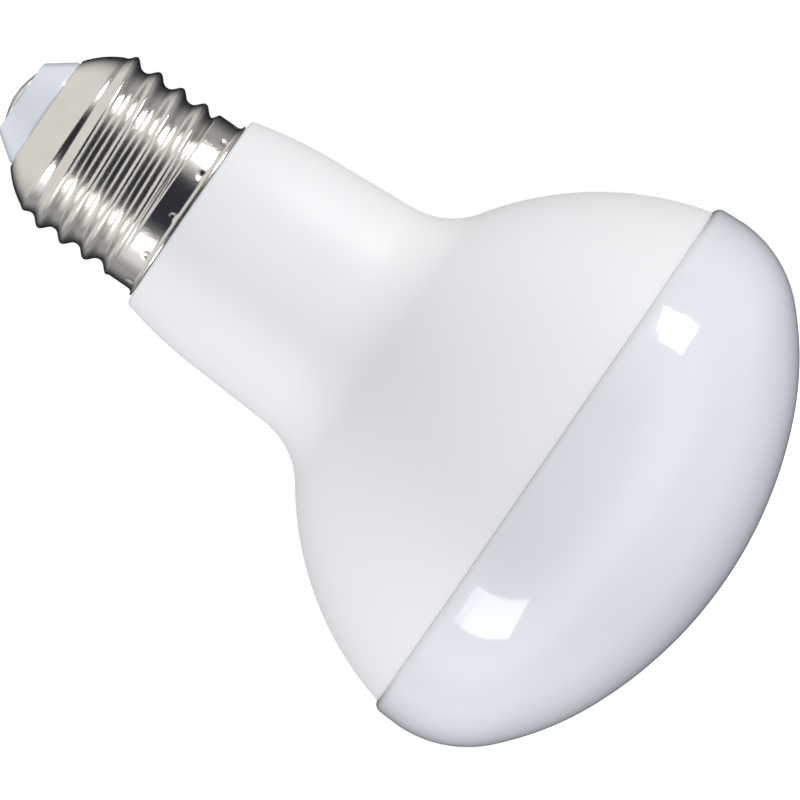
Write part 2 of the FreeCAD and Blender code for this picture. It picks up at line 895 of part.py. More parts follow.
def plate_with_holes(label, radius, low_z, thick):
    """A round plate with the slot for the pins and a hole for each screw."""
    body = make_body(label)
    disc = make_sketch(body, label + "_disc", "XY_Plane", low_z)
    circle(disc, ZERO, ZERO, radius)
    slot_outline(disc)
    extrude(body, "PartDesign::Pad", label + "_pad", disc, thick)
    drill = make_sketch(body, label + "_hole", "XY_Plane", low_z)
    circle(drill, screw_ring, ZERO, s.screw_dia / 2 + s.slip)
    hole = extrude(body, "PartDesign::Pocket", label + "_cut", drill, thick, reverse=True)
    repeat(body, label + "_holes", [hole], SCREWS)
    return body


def heat_spreader():
    """The aluminium plate that carries the diodes' heat to the housing."""
    return plate_with_holes("heat_spreader", seat - s.slip, plate_z, s.plate_thick)


def led_board():
    """The board that carries the diodes."""
    return plate_with_holes("led_board", board_edge, board_z, s.board_thick)


def led(label, ring, angle):
    """One diode package, with the corner that marks its polarity cut off."""
    body = make_body(label)
    sketch = make_sketch(body, label + "_sketch", "XY_Plane", -s.led_thick)
    long = s.led_long / 2
    wide = s.led_wide / 2
    cut = s.led_corner
    draw_outline(
        sketch,
        [(-long, -wide), (long - cut, -wide), (long, cut - wide), (long, wide), (-long, wide)],
    )
    extrude(body, "PartDesign::Pad", label + "_pad", sketch, s.led_thick)
    turned = math.radians(angle)
    body.Placement.Rotation = FreeCAD.Rotation(FreeCAD.Vector(0, 0, 1), angle)
    move(body, ring * math.cos(turned), ring * math.sin(turned), board_z)
    return body


def leds():
    """Two rings of diodes on the face of the board."""
    bodies = []
    rings = ((OUTER_LEDS, board_edge - s.outer_ring_inset), (INNER_LEDS, s.inner_ring_dia / 2))
    for count, ring in rings:
        for i in range(count):
            label = f"led_{len(bodies) + 1:02d}"
            angle = 360 * (i + 0.5) / count
            bodies.append(led(label, ring, angle))
    return bodies


def board_screws():
    """Pan-head screws through the board and the plate into the housing's bosses."""
    shapes = []
    head = s.screw_head_dia.value / 2
    shank = s.screw_dia.value / 2
    head_z = board_z.value - s.screw_head_height.value
    for i in range(SCREWS):
        turned = math.radians(360 * i / SCREWS)
        ring = screw_ring.value
        foot = FreeCAD.Vector(ring * math.cos(turned), ring * math.sin(turned), head_z)
        top = foot + FreeCAD.Vector(0, 0, s.screw_head_height.value)
        cap = Part.makeCylinder(head, s.screw_head_height.value, foot)
        front = [edge for edge in cap.Edges if edge.BoundBox.ZMax < top.z - s.fit.value]
        cap = cap.makeFillet(s.screw_head_round.value, front)
        pin = Part.makeCylinder(shank, s.screw_length.value, top)
        shapes.append(cap.fuse(pin))
    screws = doc.addObject("Part::Feature", "board_screws")
    screws.Label = "board_screws"
    screws.Shape = Part.makeCompound(shapes)
    screws.Placement = FreeCAD.Placement()
    return screws


# Driver


def driver_board():
    """The circuit board: wide between the rails, narrow where it enters the spigot."""
    body = make_body("driver_board")
    sketch = make_sketch(body, "driver_sketch")
    narrow = spigot_in - s.spigot_gap
    low = ledge_z + s.driver_lift
    step = floor_z - s.slip * 2
    draw_outline(
        sketch,
        [
            (-driver_edge, low),
            (driver_edge, low),
            (driver_edge, step),
            (narrow, step),
            (narrow, driver_top_z),
            (-narrow, driver_top_z),
            (-narrow, step),
            (-driver_edge, step),
        ],
    )
    extrude(body, "PartDesign::Pad", "driver_pad", sketch, s.driver_thick, midplane=True)
    return body


def can(label, radius, length, x, z):
    """A capacitor's can, lying along the board, with its rolled groove near the lower end."""
    body = make_body(label)
    neck = radius - s.can_groove
    low = s.can_foot
    revolve(
        body,
        label + "_can",
        [
            (ZERO, ZERO),
            (radius, ZERO),
            (radius, low),
            (neck, low + s.can_groove),
            (radius, low + s.can_groove * 2),
            (radius, length),
            (ZERO, length),
        ],
    )
    move(body, x, s.driver_thick / 2 + radius + s.fit, z)
    return body


def block(label, wide, deep, tall, x, z, behind=False):
    """A boxed component on the front or the back face of the driver board."""
    body = make_body(label)
    sketch = make_sketch(body, label + "_sketch", "XY_Plane")
    if behind:
        rectangle(sketch, -wide / 2, wide / 2, -deep, ZERO)
        y = -s.driver_thick / 2
    else:
        rectangle(sketch, -wide / 2, wide / 2, ZERO, deep)
        y = s.driver_thick / 2
    extrude(body, "PartDesign::Pad", label + "_pad", sketch, tall)
    move(body, x, y, z)
    return body


def choke():
    """A ferrite drum standing on the board, and the winding between its flanges."""
    radius = s.choke_dia / 2
    hub = s.choke_hub_dia / 2
    top = s.choke_height
    core = make_body("choke_core")
    revolve(
        core,
        "drum",
        [
            (ZERO, ZERO),
            (radius, ZERO),
            (radius, s.choke_rim),
            (hub, s.choke_rim),
            (hub, top - s.choke_rim),
            (radius, top - s.choke_rim),
            (radius, top),
            (ZERO, top),
        ],
    )
    winding = make_body("choke_winding")
    low = s.choke_rim + s.fit
    high = top - s.choke_rim - s.fit
    inner = hub + s.fit
    outer = radius - s.choke_slack
    revolve(winding, "coil", [(inner, low), (outer, low), (outer, high), (inner, high)])
    for body in (core, winding):
        body.Placement.Rotation = FreeCAD.Rotation(FreeCAD.Vector(1, 0, 0), -90)
        move(body, radius + s.film_gap, s.driver_thick / 2, ledge_z + s.choke_lift)
    return [core, winding]


def fusible_resistor():
    """A round body across the board, near the wires."""
    body = make_body("fusible_resistor")
    radius = s.fuse_dia / 2
    waist = s.fuse_waist_dia / 2
    end = s.fuse_cap
    slope = end + s.fuse_taper
    length = s.fuse_length
    revolve(
        body,
        "fuse_body",
        [
            (ZERO, ZERO),
            (radius, ZERO),
            (radius, end),
            (waist, slope),
            (waist, length - slope),
            (radius, length - end),
            (radius, length),
            (ZERO, length),
        ],
    )
    body.Placement.Rotation = FreeCAD.Rotation(FreeCAD.Vector(0, 1, 0), 90)
    move(body, -length / 2, s.driver_thick / 2 + radius + s.fit, floor_z + s.fuse_lift)
    return body


def wire(label, diameter, points, bends):
    """A wire along straight runs joined by tangent arcs, in the plane across the board."""
    corners = [FreeCAD.Vector(0, y.value, z.value) for y, z in points]
    edges = []
    here = corners[0]
    for i, bend in enumerate(bends, start=1):
        back = unit(corners[i - 1] - corners[i])
        ahead = unit(corners[i + 1] - corners[i])
        half = back.getAngle(ahead) / 2
        cut = bend.value / math.tan(half)
        start = corners[i] + back * cut
        stop = corners[i] + ahead * cut
        centre = corners[i] + unit(back + ahead) * (bend.value / math.sin(half))
        way = centre + unit(corners[i] - centre) * bend.value
        edges.append(Part.LineSegment(here, start).toShape())
        edges.append(Part.Arc(start, way, stop).toShape())
        here = stop
    edges.append(Part.LineSegment(here, corners[-1]).toShape())
    path = Part.Wire(edges)
    along = unit(corners[1] - corners[0])
    ring = Part.Wire([Part.makeCircle(diameter.value / 2, corners[0], along)])
    piece = doc.addObject("Part::Feature", label)
    piece.Label = label
    piece.Shape = path.makePipeShell([ring], True, False)
    piece.Placement = FreeCAD.Placement()
    return piece


def wires():
    """The live wire to the contact, and the neutral wire bent over the spigot's end."""
    face = s.driver_thick / 2 + s.fit
    live_y = face + s.wire_dia / 2
    fuse_top = floor_z + s.fuse_lift + s.fuse_dia / 2
    shank_end = cap_end_z - s.shank_length
    live = wire(
        "live_lead",
        s.wire_dia,
        [
            (live_y, fuse_top + s.wire_dia),
            (live_y, driver_top_z + s.wire_dia),
            (ZERO, shank_end - s.wire_dia),
            (ZERO, shank_end),
        ],
        [s.wire_dia, s.wire_dia],
    )
    strand = s.strand_dia / 2
    clamp_y = -(spigot_out - strand - s.slip / 2)
    over_z = spigot_z - strand - s.slip
    down_y = -(face + strand)
    neutral = wire(
        "neutral_lead",
        s.strand_dia,
        [
            (clamp_y, clamp_z() + s.slip),
            (clamp_y, over_z),
            (down_y, over_z),
            (down_y, over_z - s.neutral_tail),
        ],
        [s.strand_dia, s.strand_dia * 2],
    )
    return [live, neutral]


def output_pins():
    """Two square pins soldered along the board's foot, which plug into the socket."""
    low = board_z - s.pin_plunge
    top = ledge_z + s.driver_lift + s.pin_joint
    pins = []
    for side in (-1, 1):
        middle = s.pin_pitch / 2 * side
        pin = doc.addObject("Part::Box", "pin")
        sides = {"Length": s.pin_side, "Width": s.pin_side, "Height": top - low}
        for name, size in sides.items():
            setattr(pin, name, size.value)
            pin.setExpression(name, size.text)
        move(pin, middle - s.pin_side / 2, s.driver_thick / 2, low)
        pins.append(pin)
    pair = doc.addObject("Part::Compound", "output_pins")
    pair.Label = "output_pins"
    pair.Links = pins
    doc.recompute()
    return pair


def pin_socket():
    """The plastic socket on the face of the diode board."""
    body = make_body("pin_socket")
    sketch = make_sketch(body, "socket_sketch", "XY_Plane", board_z - s.socket_height)
    half = s.slot_width / 2 + s.pin_side
    reach = s.slot_depth / 2 + s.pin_side
    middle_y = s.driver_thick / 2 + s.pin_side / 2
    rectangle(sketch, -half, half, middle_y - reach, middle_y + reach)
    hole = s.pin_side / 2 + s.fit
    for side in (-1, 1):
        middle = s.pin_pitch / 2 * side
        rectangle(sketch, middle - hole, middle + hole, middle_y - hole, middle_y + hole)
    extrude(body, "PartDesign::Pad", "socket_pad", sketch, s.socket_height)
    return body


def driver_parts():
    """The components on both faces of the driver board."""
    base = ledge_z + s.driver_lift
    quarter = driver_edge / 2
    upper_z = floor_z - s.input_can_length - s.neck_floor
    chip_z = upper_z - s.chip_drop

    # The large can lies on the board and nearly touches the neck's bore at its side.
    face = s.driver_thick / 2
    big = (neck_bore - face - s.can_clearance) / 2
    away = neck_bore - s.can_gap - big
    lift = face + s.fit + big
    big_x = -(away * away - lift * lift).root()
    film_low = big_x + big + s.film_gap
    film_high = driver_edge - s.rail_reach - s.can_gap * 2
    film_x = (film_low + film_high) / 2
    film_wide = film_high - film_low
    bridge = (s.bridge_wide, s.bridge_deep, s.bridge_tall)
    chip = (s.chip_wide, s.chip_deep, s.chip_tall)
    diode = (s.diode_wide, s.diode_deep, s.diode_tall)
    small = s.output_can_dia / 2
    return [
        can("input_capacitor", big, s.input_can_length, big_x, upper_z),
        can("output_capacitor", small, s.output_can_length, -quarter, base + quarter),
        block("film_capacitor", film_wide, s.film_deep, s.film_tall, film_x, upper_z),
        *choke(),
        block("bridge_rectifier", *bridge, ZERO, upper_z, behind=True),
        block("driver_chip", *chip, ZERO, chip_z, behind=True),
        block("output_diode", *diode, quarter, chip_z, behind=True),
        fusible_resistor(),
        output_pins(),
        pin_socket(),
    ]


pieces = [
    diffuser(),
    housing(),
    screw_shell(),
    cap_insulator(),
    centre_contact(),
    heat_spreader(),
    led_board(),
    *leds(),
    board_screws(),
    driver_board(),
    *driver_parts(),
    *wires(),
]
doc.recompute()

for item in doc.Objects:
    if "Invalid" in item.State or "Error" in item.State:
        raise RuntimeError(f"{item.Label} failed: {item.State}")
for piece in pieces:
    if piece.Shape.isNull() or not piece.Shape.isValid() or not piece.Shape.Solids:
        raise RuntimeError(f"{piece.Label} has no valid shape")

os.makedirs("parts", exist_ok=True)
for piece in pieces:
    piece.Shape.exportStep(f"parts/{piece.Label}.step")
    print(piece.Label, len(piece.Shape.Solids), round(piece.Shape.Volume, 1))
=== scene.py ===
# %% [markdown]
# # A reflector lamp, dressed around its frame
#
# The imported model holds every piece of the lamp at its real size. Here the five pieces that
# the eye sees are modelled again as smooth surfaces, each gets the finish of its real
# material, and the pieces inside keep their own shape and get a material too.

# %% Load the frame
import math

import bmesh
import bpy
from mathutils import Matrix, Vector


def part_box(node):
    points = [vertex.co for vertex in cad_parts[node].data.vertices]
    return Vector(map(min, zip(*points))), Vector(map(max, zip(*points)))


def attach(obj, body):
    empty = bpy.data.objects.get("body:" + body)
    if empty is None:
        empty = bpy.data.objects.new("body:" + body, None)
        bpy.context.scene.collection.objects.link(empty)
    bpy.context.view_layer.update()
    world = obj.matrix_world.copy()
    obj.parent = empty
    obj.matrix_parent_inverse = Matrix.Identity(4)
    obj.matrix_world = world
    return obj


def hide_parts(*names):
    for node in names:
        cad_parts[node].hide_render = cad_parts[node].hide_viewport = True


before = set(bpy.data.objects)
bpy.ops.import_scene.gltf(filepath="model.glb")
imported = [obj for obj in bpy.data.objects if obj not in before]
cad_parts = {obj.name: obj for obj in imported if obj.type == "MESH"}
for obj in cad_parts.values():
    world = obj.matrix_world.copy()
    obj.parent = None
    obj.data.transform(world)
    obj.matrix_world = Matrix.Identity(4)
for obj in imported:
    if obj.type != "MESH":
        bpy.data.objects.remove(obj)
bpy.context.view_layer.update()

print(len(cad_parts), "pieces in the frame")

# %% [markdown]
# ## Sizes
#
# The frame is in metres and a lamp is drawn in millimetres, so every size below is a number
# of millimetres and one factor turns it into metres. Heights are read from the frame's own
# pieces, and the radii that no box can tell are driving sizes of the lamp. SHEET is the room
# that the shell's wall has, and SLIP is the play between two pieces that fit into each other.

# %% Heights and radii
MM = 0.001


def top_of(node):
    """The highest point of a frame piece, in millimetres."""
    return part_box(node)[1].z / MM


def foot_of(node):
    """The lowest point of a frame piece, in millimetres."""
    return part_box(node)[0].z / MM


RIM_Z = foot_of("housing")
NECK_Z = foot_of("screw_shell")
SHELL_Z = top_of("screw_shell")
CAP_Z = top_of("cap_insulator")
TIP_Z = top_of("centre_contact")
PLATE_Z = foot_of("heat_spreader")
LEDGE_Z = top_of("heat_spreader")
SPIGOT_Z = top_of("housing")
LAMP_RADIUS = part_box("diffuser")[1].x / MM
SEAT_RADIUS = 36.0
SHEET = 0.35
SLIP = 0.1

print("rim", round(RIM_Z, 2), "neck", round(NECK_Z, 2), "shell", round(SHELL_Z, 2))
print("tip", round(TIP_Z, 2), "lamp radius", round(LAMP_RADIUS, 2))

# %% [markdown]
# ## The camera
#
# The photograph was taken with a long lens from far away, square to the lamp's axis, and the
# lamp lies across the picture with its cap up on the left. A camera that looks level along Y
# and is rolled about its own view gives that slope without tipping the lamp.

# %% Place the camera
PICTURE = 800
PIXELS_PER_MM = 7.625
AXIS_SLOPE = 34.5
CAMERA_AWAY = 2500.0
LOOK_AT = Vector((-4.66, 0.0, 48.59))

camera_data = bpy.data.cameras.new("view")
camera = bpy.data.objects.new("view", camera_data)
bpy.context.scene.collection.objects.link(camera)
camera.location = (LOOK_AT + Vector((0, -CAMERA_AWAY, 0))) * MM
roll = Matrix.Rotation(math.radians(90 - AXIS_SLOPE), 4, "Y")
level = Matrix.Rotation(math.radians(90), 4, "X")
camera.rotation_euler = (roll @ level).to_euler()
field = PICTURE / PIXELS_PER_MM
camera_data.lens = camera_data.sensor_width * CAMERA_AWAY / field
camera_data.clip_end = 20
bpy.context.scene.camera = camera
print("lens", round(camera_data.lens), "mm for a field of", round(field, 1), "mm")

# %% [markdown]
# ## Drawing a section with a pen
#
# A turned or moulded round piece is its section, spun about the axis. The section is drawn
# with a pen: a plane is merged to one point, the point is extruded for a straight line and
# spun about a centre for an arc, so that arcs are true arcs and flow into each other.

# %% Pen helpers
def start_section(name, x, z):
    """Begin a section at x, z with one vertex, in edit mode."""
    bpy.ops.object.select_all(action="DESELECT")
    bpy.ops.mesh.primitive_plane_add(size=MM, location=(0, 0, 0))
    piece = bpy.context.object
    piece.name = name
    bpy.ops.object.mode_set(mode="EDIT")
    bpy.ops.mesh.select_mode(type="VERT")
    bpy.ops.mesh.select_all(action="SELECT")
    bpy.ops.mesh.merge(type="CENTER")
    bpy.ops.transform.translate(value=(x * MM, 0, z * MM))
    return piece


def pen():
    """Where the pen is, in millimetres."""
    mesh = bmesh.from_edit_mesh(bpy.context.object.data)
    spot = next(vertex.co for vertex in mesh.verts if vertex.select)
    return spot.x / MM, spot.z / MM


def line_to(x, z, steps=1):
    """A straight line from the pen to x, z."""
    here_x, here_z = pen()
    step = ((x - here_x) * MM / steps, 0, (z - here_z) * MM / steps)
    for _ in range(steps):
        bpy.ops.mesh.extrude_vertices_move(TRANSFORM_OT_translate={"value": step})


def arc(centre, degrees, steps):
    """An arc about centre, anticlockwise where degrees is positive."""
    bpy.ops.mesh.spin(
        steps=steps,
        angle=math.radians(degrees),
        center=(centre[0] * MM, 0, centre[1] * MM),
        axis=(0, 1, 0),
    )


def bow_to(x, z, bulge, steps):
    """An arc from the pen to x, z that stands out by bulge on the right of its chord."""
    here = Vector(pen())
    chord = Vector((x, z)) - here
    half = chord.length / 2
    radius = (half * half + bulge * bulge) / (2 * bulge)
    right = Vector((chord.y, -chord.x)).normalized()
    centre = here + chord / 2 + right * (bulge - radius)
    arc(centre, math.degrees(2 * math.asin(half / radius)), steps)


print("pen helpers ready")

# %% [markdown]
# ## Turning the section
#
# The section is spun once round the axis. Its points on the axis and its first and last copy
# then lie on each other, so they are merged before the normals are made to point outwards.

# %% Lathe
SIDES = 256
SHARP = 35
MERGE_WITHIN = 0.002


def lathe(piece, sides=SIDES):
    """Spin the drawn section about the lamp's axis and close it."""
    bpy.ops.mesh.select_all(action="SELECT")
    bpy.ops.mesh.spin(steps=sides, angle=math.tau, center=(0, 0, 0), axis=(0, 0, 1))
    bpy.ops.mesh.select_all(action="SELECT")
    bpy.ops.mesh.remove_doubles(threshold=MERGE_WITHIN * MM)
    bpy.ops.mesh.normals_make_consistent(inside=False)
    bpy.ops.object.mode_set(mode="OBJECT")
    print(piece.name, len(piece.data.vertices), "vertices")


def make_active(piece):
    """Select this piece alone, so that the next operator works on it."""
    bpy.ops.object.select_all(action="DESELECT")
    piece.select_set(True)
    bpy.context.view_layer.objects.active = piece


def smooth(piece):
    """Shade smoothly, and keep sharp edges crisp."""
    make_active(piece)
    bpy.ops.object.shade_smooth_by_angle(angle=math.radians(SHARP))


def stand_for(piece, node):
    """The piece joins the lamp's root body and hides the frame piece that it stands for."""
    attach(piece, "root")
    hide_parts(node)


print("sections are spun in", SIDES, "steps")

# %% [markdown]
# ## The diffuser
#
# A diffuser like this is blown or moulded in one piece from opal plastic. Its front is almost
# flat, rolls over in ever tighter arcs, and ends in a small rounded collar and a tongue that
# plugs into the housing. Three arcs that touch smoothly give the outside, and the same three
# about the same centres give the inside, smaller by the wall. DOME_ARCS holds the radius, the
# angle and the number of steps of each.

# %% Sizes of the diffuser
DOME_ARCS = ((56.7, 23.93, 20), (41.3, 20.40, 14), (16.24, 45.67, 24))
DIFFUSER_WALL = 1.6
WIDEST_Z = 24.7
FRAME_SEAM = 0.25
COLLAR_Z = RIM_Z - FRAME_SEAM
COLLAR_ROUND = 1.2
COLLAR_LEAN = 0.15
TONGUE_RADIUS = SEAT_RADIUS - SLIP
TONGUE_WALL = 1.5
TONGUE_GAP = 0.15
TONGUE_Z = PLATE_Z - TONGUE_GAP


def dome_centres():
    """The centres of the dome's three arcs, from the middle of the front outwards."""
    centres = []
    centre = Vector((0, DOME_ARCS[0][0]))
    turned = 0
    for number, (radius, degrees, _) in enumerate(DOME_ARCS):
        centres.append(centre)
        turned += math.radians(degrees)
        if number + 1 < len(DOME_ARCS):
            away = Vector((math.sin(turned), -math.cos(turned)))
            centre = centre + away * (radius - DOME_ARCS[number + 1][0])
    return centres


print("collar's top at", round(COLLAR_Z, 2), "tongue's end at", round(TONGUE_Z, 2))

# %% Draw the diffuser
def draw_diffuser():
    """Go out along the front, up over the collar, round the tongue and back inside."""
    centres = dome_centres()
    piece = start_section("opal_dome", 0, 0)
    for centre, (_, degrees, steps) in zip(centres, DOME_ARCS):
        arc(centre, degrees, steps)
    edge = LAMP_RADIUS - COLLAR_LEAN
    round_z = COLLAR_Z - COLLAR_ROUND
    line_to(edge, round_z, steps=3)
    arc((edge - COLLAR_ROUND, round_z), 90, steps=8)
    line_to(TONGUE_RADIUS, COLLAR_Z)
    line_to(TONGUE_RADIUS, TONGUE_Z)
    line_to(TONGUE_RADIUS - TONGUE_WALL, TONGUE_Z)
    line_to(TONGUE_RADIUS - TONGUE_WALL, round_z)
    line_to(LAMP_RADIUS - DIFFUSER_WALL, round_z - COLLAR_ROUND)
    line_to(LAMP_RADIUS - DIFFUSER_WALL, WIDEST_Z)
    for centre, (_, degrees, steps) in zip(reversed(centres), reversed(DOME_ARCS)):
        arc(centre, -degrees, steps)
    print("inside of the front at", [round(value, 2) for value in pen()])
    lathe(piece)
    smooth(piece)
    stand_for(piece, "diffuser")
    return piece


opal_dome = draw_diffuser()

# %% [markdown]
# ## The housing
#
# The white body is one moulding too: a flare that leaves the rim steeply, a tight waist, and
# a neck that narrows by a few degrees so that it leaves its mould. Under the cap it goes on as
# a thin spigot, and inside the rim it has a ledge for the plate. At the rim it ends in a fine
# edge that closes down on the collar, so that the seam is no more than a hairline.
#
# The flare and the waist are arcs that touch each other, and a straight neck with the mould's
# draft leads from the waist to a last, slight bow under the cap. So the place of the waist's
# centre follows from the two radii, the draft and BEND, the point where the bow begins.

# %% Sizes and curves of the housing
RIM_INSET = 1.25
RIM_RADIUS = LAMP_RADIUS - RIM_INSET
HAIRLINE = 0.01
RIM_FOOT = COLLAR_Z + HAIRLINE
EDGE_HEIGHT = 0.15
EDGE_REACH = 0.02
EDGE_ROUND = 0.04
EDGE_BULGE = EDGE_ROUND * 0.3
FLARE_RADIUS = 43.0
FLARE_DROP = 10.7
WAIST_RADIUS = 10.5
HOUSING_WALL = 2.0
DRAFT = 3.57
BEND = Vector((16.325, NECK_Z - 11.7))
NECK_END = Vector((14.45, NECK_Z))
NECK_ROUND = 0.6


def heading(degrees):
    """A direction in the section, as a vector one long."""
    return Vector((math.cos(math.radians(degrees)), math.sin(math.radians(degrees))))


def angle_of(vector):
    """The angle of a vector in the section, in degrees."""
    return math.degrees(math.atan2(vector.y, vector.x))


def rise_angle(rise, radius):
    """The angle on a circle, in degrees, of the point that lies this high over its centre."""
    return math.degrees(math.asin(rise / radius))


def flare_curve():
    """The centres of the flare, of the waist and of the neck's bow, and the bow's radius."""
    reach_in = math.sqrt(FLARE_RADIUS**2 - FLARE_DROP**2)
    flare_centre = Vector((RIM_RADIUS - reach_in, RIM_Z - FLARE_DROP))
    out = heading(DRAFT)
    along = heading(DRAFT + 90)
    start = BEND + out * WAIST_RADIUS
    gap = start - flare_centre
    half = gap.dot(along)
    reach = FLARE_RADIUS + WAIST_RADIUS
    slide = -half + math.sqrt(half**2 - gap.dot(gap) + reach**2)
    waist_centre = start + along * slide
    chord = NECK_END - BEND
    bow_radius = -chord.dot(chord) / (2 * chord.dot(out))
    bow_centre = BEND - out * bow_radius
    return flare_centre, waist_centre, bow_centre, bow_radius


print("waist's centre at", [round(value, 2) for value in flare_curve()[1]])

# %% Sizes of the skirt and the spigot
SKIRT_RADIUS = 12.75
SKIRT_HEIGHT = 4.6
SKIRT_TOP = NECK_Z + SKIRT_HEIGHT
ROOT_RADIUS = 11.95
SPIGOT_RADIUS = ROOT_RADIUS - SHEET - SLIP / 2
SPIGOT_WALL = 1.6
NECK_FLOOR = 2.0
print("spigot up to", round(SPIGOT_Z, 2), "with a radius of", round(SPIGOT_RADIUS, 2))

# %% Draw the housing
def draw_outside(flare_centre, waist_centre, bow_centre, bow_radius):
    """From the seat inside the rim, round the edge and up the skin to the neck's end."""
    meet = angle_of(waist_centre - flare_centre)
    edge_z = RIM_FOOT + EDGE_HEIGHT
    rim_angle = rise_angle(edge_z - flare_centre.y, FLARE_RADIUS)
    rim_start = flare_centre + heading(rim_angle) * FLARE_RADIUS
    edge_x = rim_start.x + EDGE_REACH
    line_to(edge_x - EDGE_ROUND, RIM_FOOT)
    bow_to(edge_x, RIM_FOOT + EDGE_ROUND, EDGE_BULGE, steps=4)
    line_to(edge_x, edge_z - EDGE_REACH)
    line_to(rim_start.x, rim_start.y)
    arc(flare_centre, meet - rim_angle, steps=56)
    arc(waist_centre, DRAFT - meet, steps=28)
    line_to(BEND.x, BEND.y, steps=6)
    end_angle = rise_angle(NECK_Z - NECK_ROUND - bow_centre.y, bow_radius - NECK_ROUND)
    arc(bow_centre, end_angle - DRAFT, steps=8)
    round_centre = bow_centre + heading(end_angle) * (bow_radius - NECK_ROUND)
    arc(round_centre, 90 - end_angle, steps=6)


def draw_spigot():
    """In under the shell's skirt, up the spigot, and down its bore to the neck's floor."""
    skirt_out = SKIRT_RADIUS - SHEET - SLIP / 2
    step_z = SKIRT_TOP - SHEET
    floor_z = NECK_Z - NECK_FLOOR
    line_to(skirt_out, NECK_Z)
    line_to(skirt_out, step_z - (skirt_out - SPIGOT_RADIUS))
    line_to(SPIGOT_RADIUS, step_z)
    line_to(SPIGOT_RADIUS, SPIGOT_Z)
    line_to(SPIGOT_RADIUS - SPIGOT_WALL, SPIGOT_Z)
    line_to(SPIGOT_RADIUS - SPIGOT_WALL, floor_z)
    line_to(NECK_END.x - HOUSING_WALL, floor_z)


def draw_inside(flare_centre, waist_centre):
    """Down the inside of the neck, the waist and the flare to the ledge and the seat."""
    meet = angle_of(waist_centre - flare_centre)
    inner_bend = BEND - heading(DRAFT) * HOUSING_WALL
    line_to(inner_bend.x, inner_bend.y, steps=6)
    neck_start = waist_centre - heading(DRAFT) * (WAIST_RADIUS + HOUSING_WALL)
    line_to(neck_start.x, neck_start.y)
    arc(waist_centre, meet - DRAFT, steps=24)
    ledge_angle = rise_angle(LEDGE_Z - flare_centre.y, FLARE_RADIUS - HOUSING_WALL)
    arc(flare_centre, ledge_angle - meet, steps=40)
    line_to(SEAT_RADIUS, LEDGE_Z)
    line_to(SEAT_RADIUS, RIM_FOOT)


def draw_housing():
    """Draw the section all the way round, spin it and dress the frame's housing."""
    flare_centre, waist_centre, bow_centre, bow_radius = flare_curve()
    piece = start_section("white_housing", SEAT_RADIUS, RIM_FOOT)
    draw_outside(flare_centre, waist_centre, bow_centre, bow_radius)
    draw_spigot()
    draw_inside(flare_centre, waist_centre)
    lathe(piece)
    smooth(piece)
    stand_for(piece, "housing")
    return piece


white_housing = draw_housing()

# %% [markdown]
# ## The screw shell
#
# The real shell starts as a thin drawn cup with a flared lip. Two rollers then press the
# thread into the sheet, and a punch sets twelve dimples round the skirt. It is made here in
# that order, and it starts with the plain cup, spun from its section as one open sheet. The
# part that the rollers will press needs many rows of faces, so that the thread comes out round.

# %% Draw the cup
SHELL_SIDES = 288
ROW = 0.14
LIP_REACH = 0.6
LIP_RADIUS = SKIRT_RADIUS + LIP_REACH
SHOULDER_HEIGHT = 4.3
SHOULDER_Z = SHELL_Z - SHOULDER_HEIGHT
SHOULDER_RADIUS = 8.45
SHOULDER_BULGE = 0.32
HOLE_RADIUS = 7.95


def rows(length):
    """How many rows of faces the rolled part of the sheet needs along this length."""
    return max(1, round(length / ROW))


def draw_cup():
    """The lip, the skirt, the step to the thread's root, the shoulder and the hole."""
    flare = LIP_RADIUS - SKIRT_RADIUS
    lip_z = NECK_Z + SHEET + SLIP / 2
    step = SKIRT_RADIUS - ROOT_RADIUS
    piece = start_section("nickel_shell", LIP_RADIUS, lip_z)
    arc((LIP_RADIUS, lip_z + flare), -90, steps=8)
    line_to(SKIRT_RADIUS, SKIRT_TOP, rows(SKIRT_TOP - lip_z - flare))
    line_to(ROOT_RADIUS, SKIRT_TOP + step, rows(step))
    line_to(ROOT_RADIUS, SHOULDER_Z, rows(SHOULDER_Z - SKIRT_TOP - step))
    bow_to(SHOULDER_RADIUS, SHELL_Z, SHOULDER_BULGE, steps=24)
    line_to(HOLE_RADIUS, SHELL_Z, steps=2)
    lathe(piece, SHELL_SIDES)
    return piece


nickel_shell = draw_cup()

# %% [markdown]
# ## Rolling the thread and punching the dimples
#
# A rolled thread is a smooth wave in the sheet, with valleys wider than its crests. It winds
# round the axis, starts at the top of the skirt and dies out in the shoulder. To keep its
# pitch and its place exact, one function gives the rolled radius at each angle and height,
# another gives the depth of a dimple, and each point of the cup is moved in or out by them.

# %% Thread and dimples
CREST_RADIUS = 12.95
VALLEY_RADIUS = 11.8
PITCH = 3.63
FIRST_CREST = 2.78
SHELL_TURN = 22
CREST_SHARPNESS = 1.35
RUN_IN = (SKIRT_TOP - 0.8, SKIRT_TOP + 0.1)
RUN_OUT = (SHOULDER_Z - 1.4, SHOULDER_Z + 0.5)
DIMPLES = 12
DIMPLE_RADIUS = 0.62
DIMPLE_DEPTH = 0.22
DIMPLE_HEIGHT = 1.3
DIMPLE_Z = NECK_Z + DIMPLE_HEIGHT


def fade(low, high, value):
    """Rise smoothly from 0 at low to 1 at high."""
    share = min(1, max(0, (value - low) / (high - low)))
    return share * share * (3 - 2 * share)


def rolled(radius, turned, height):
    """The sheet's radius after the rollers have passed, at this angle and height."""
    crest_z = NECK_Z + FIRST_CREST + PITCH * (turned - SHELL_TURN) / 360
    swing = (1 + math.cos(math.tau * (height - crest_z) / PITCH)) / 2
    wave = VALLEY_RADIUS + (CREST_RADIUS - VALLEY_RADIUS) * swing**CREST_SHARPNESS
    share = fade(*RUN_IN, height) * (1 - fade(*RUN_OUT, height))
    return radius + (wave - radius) * share


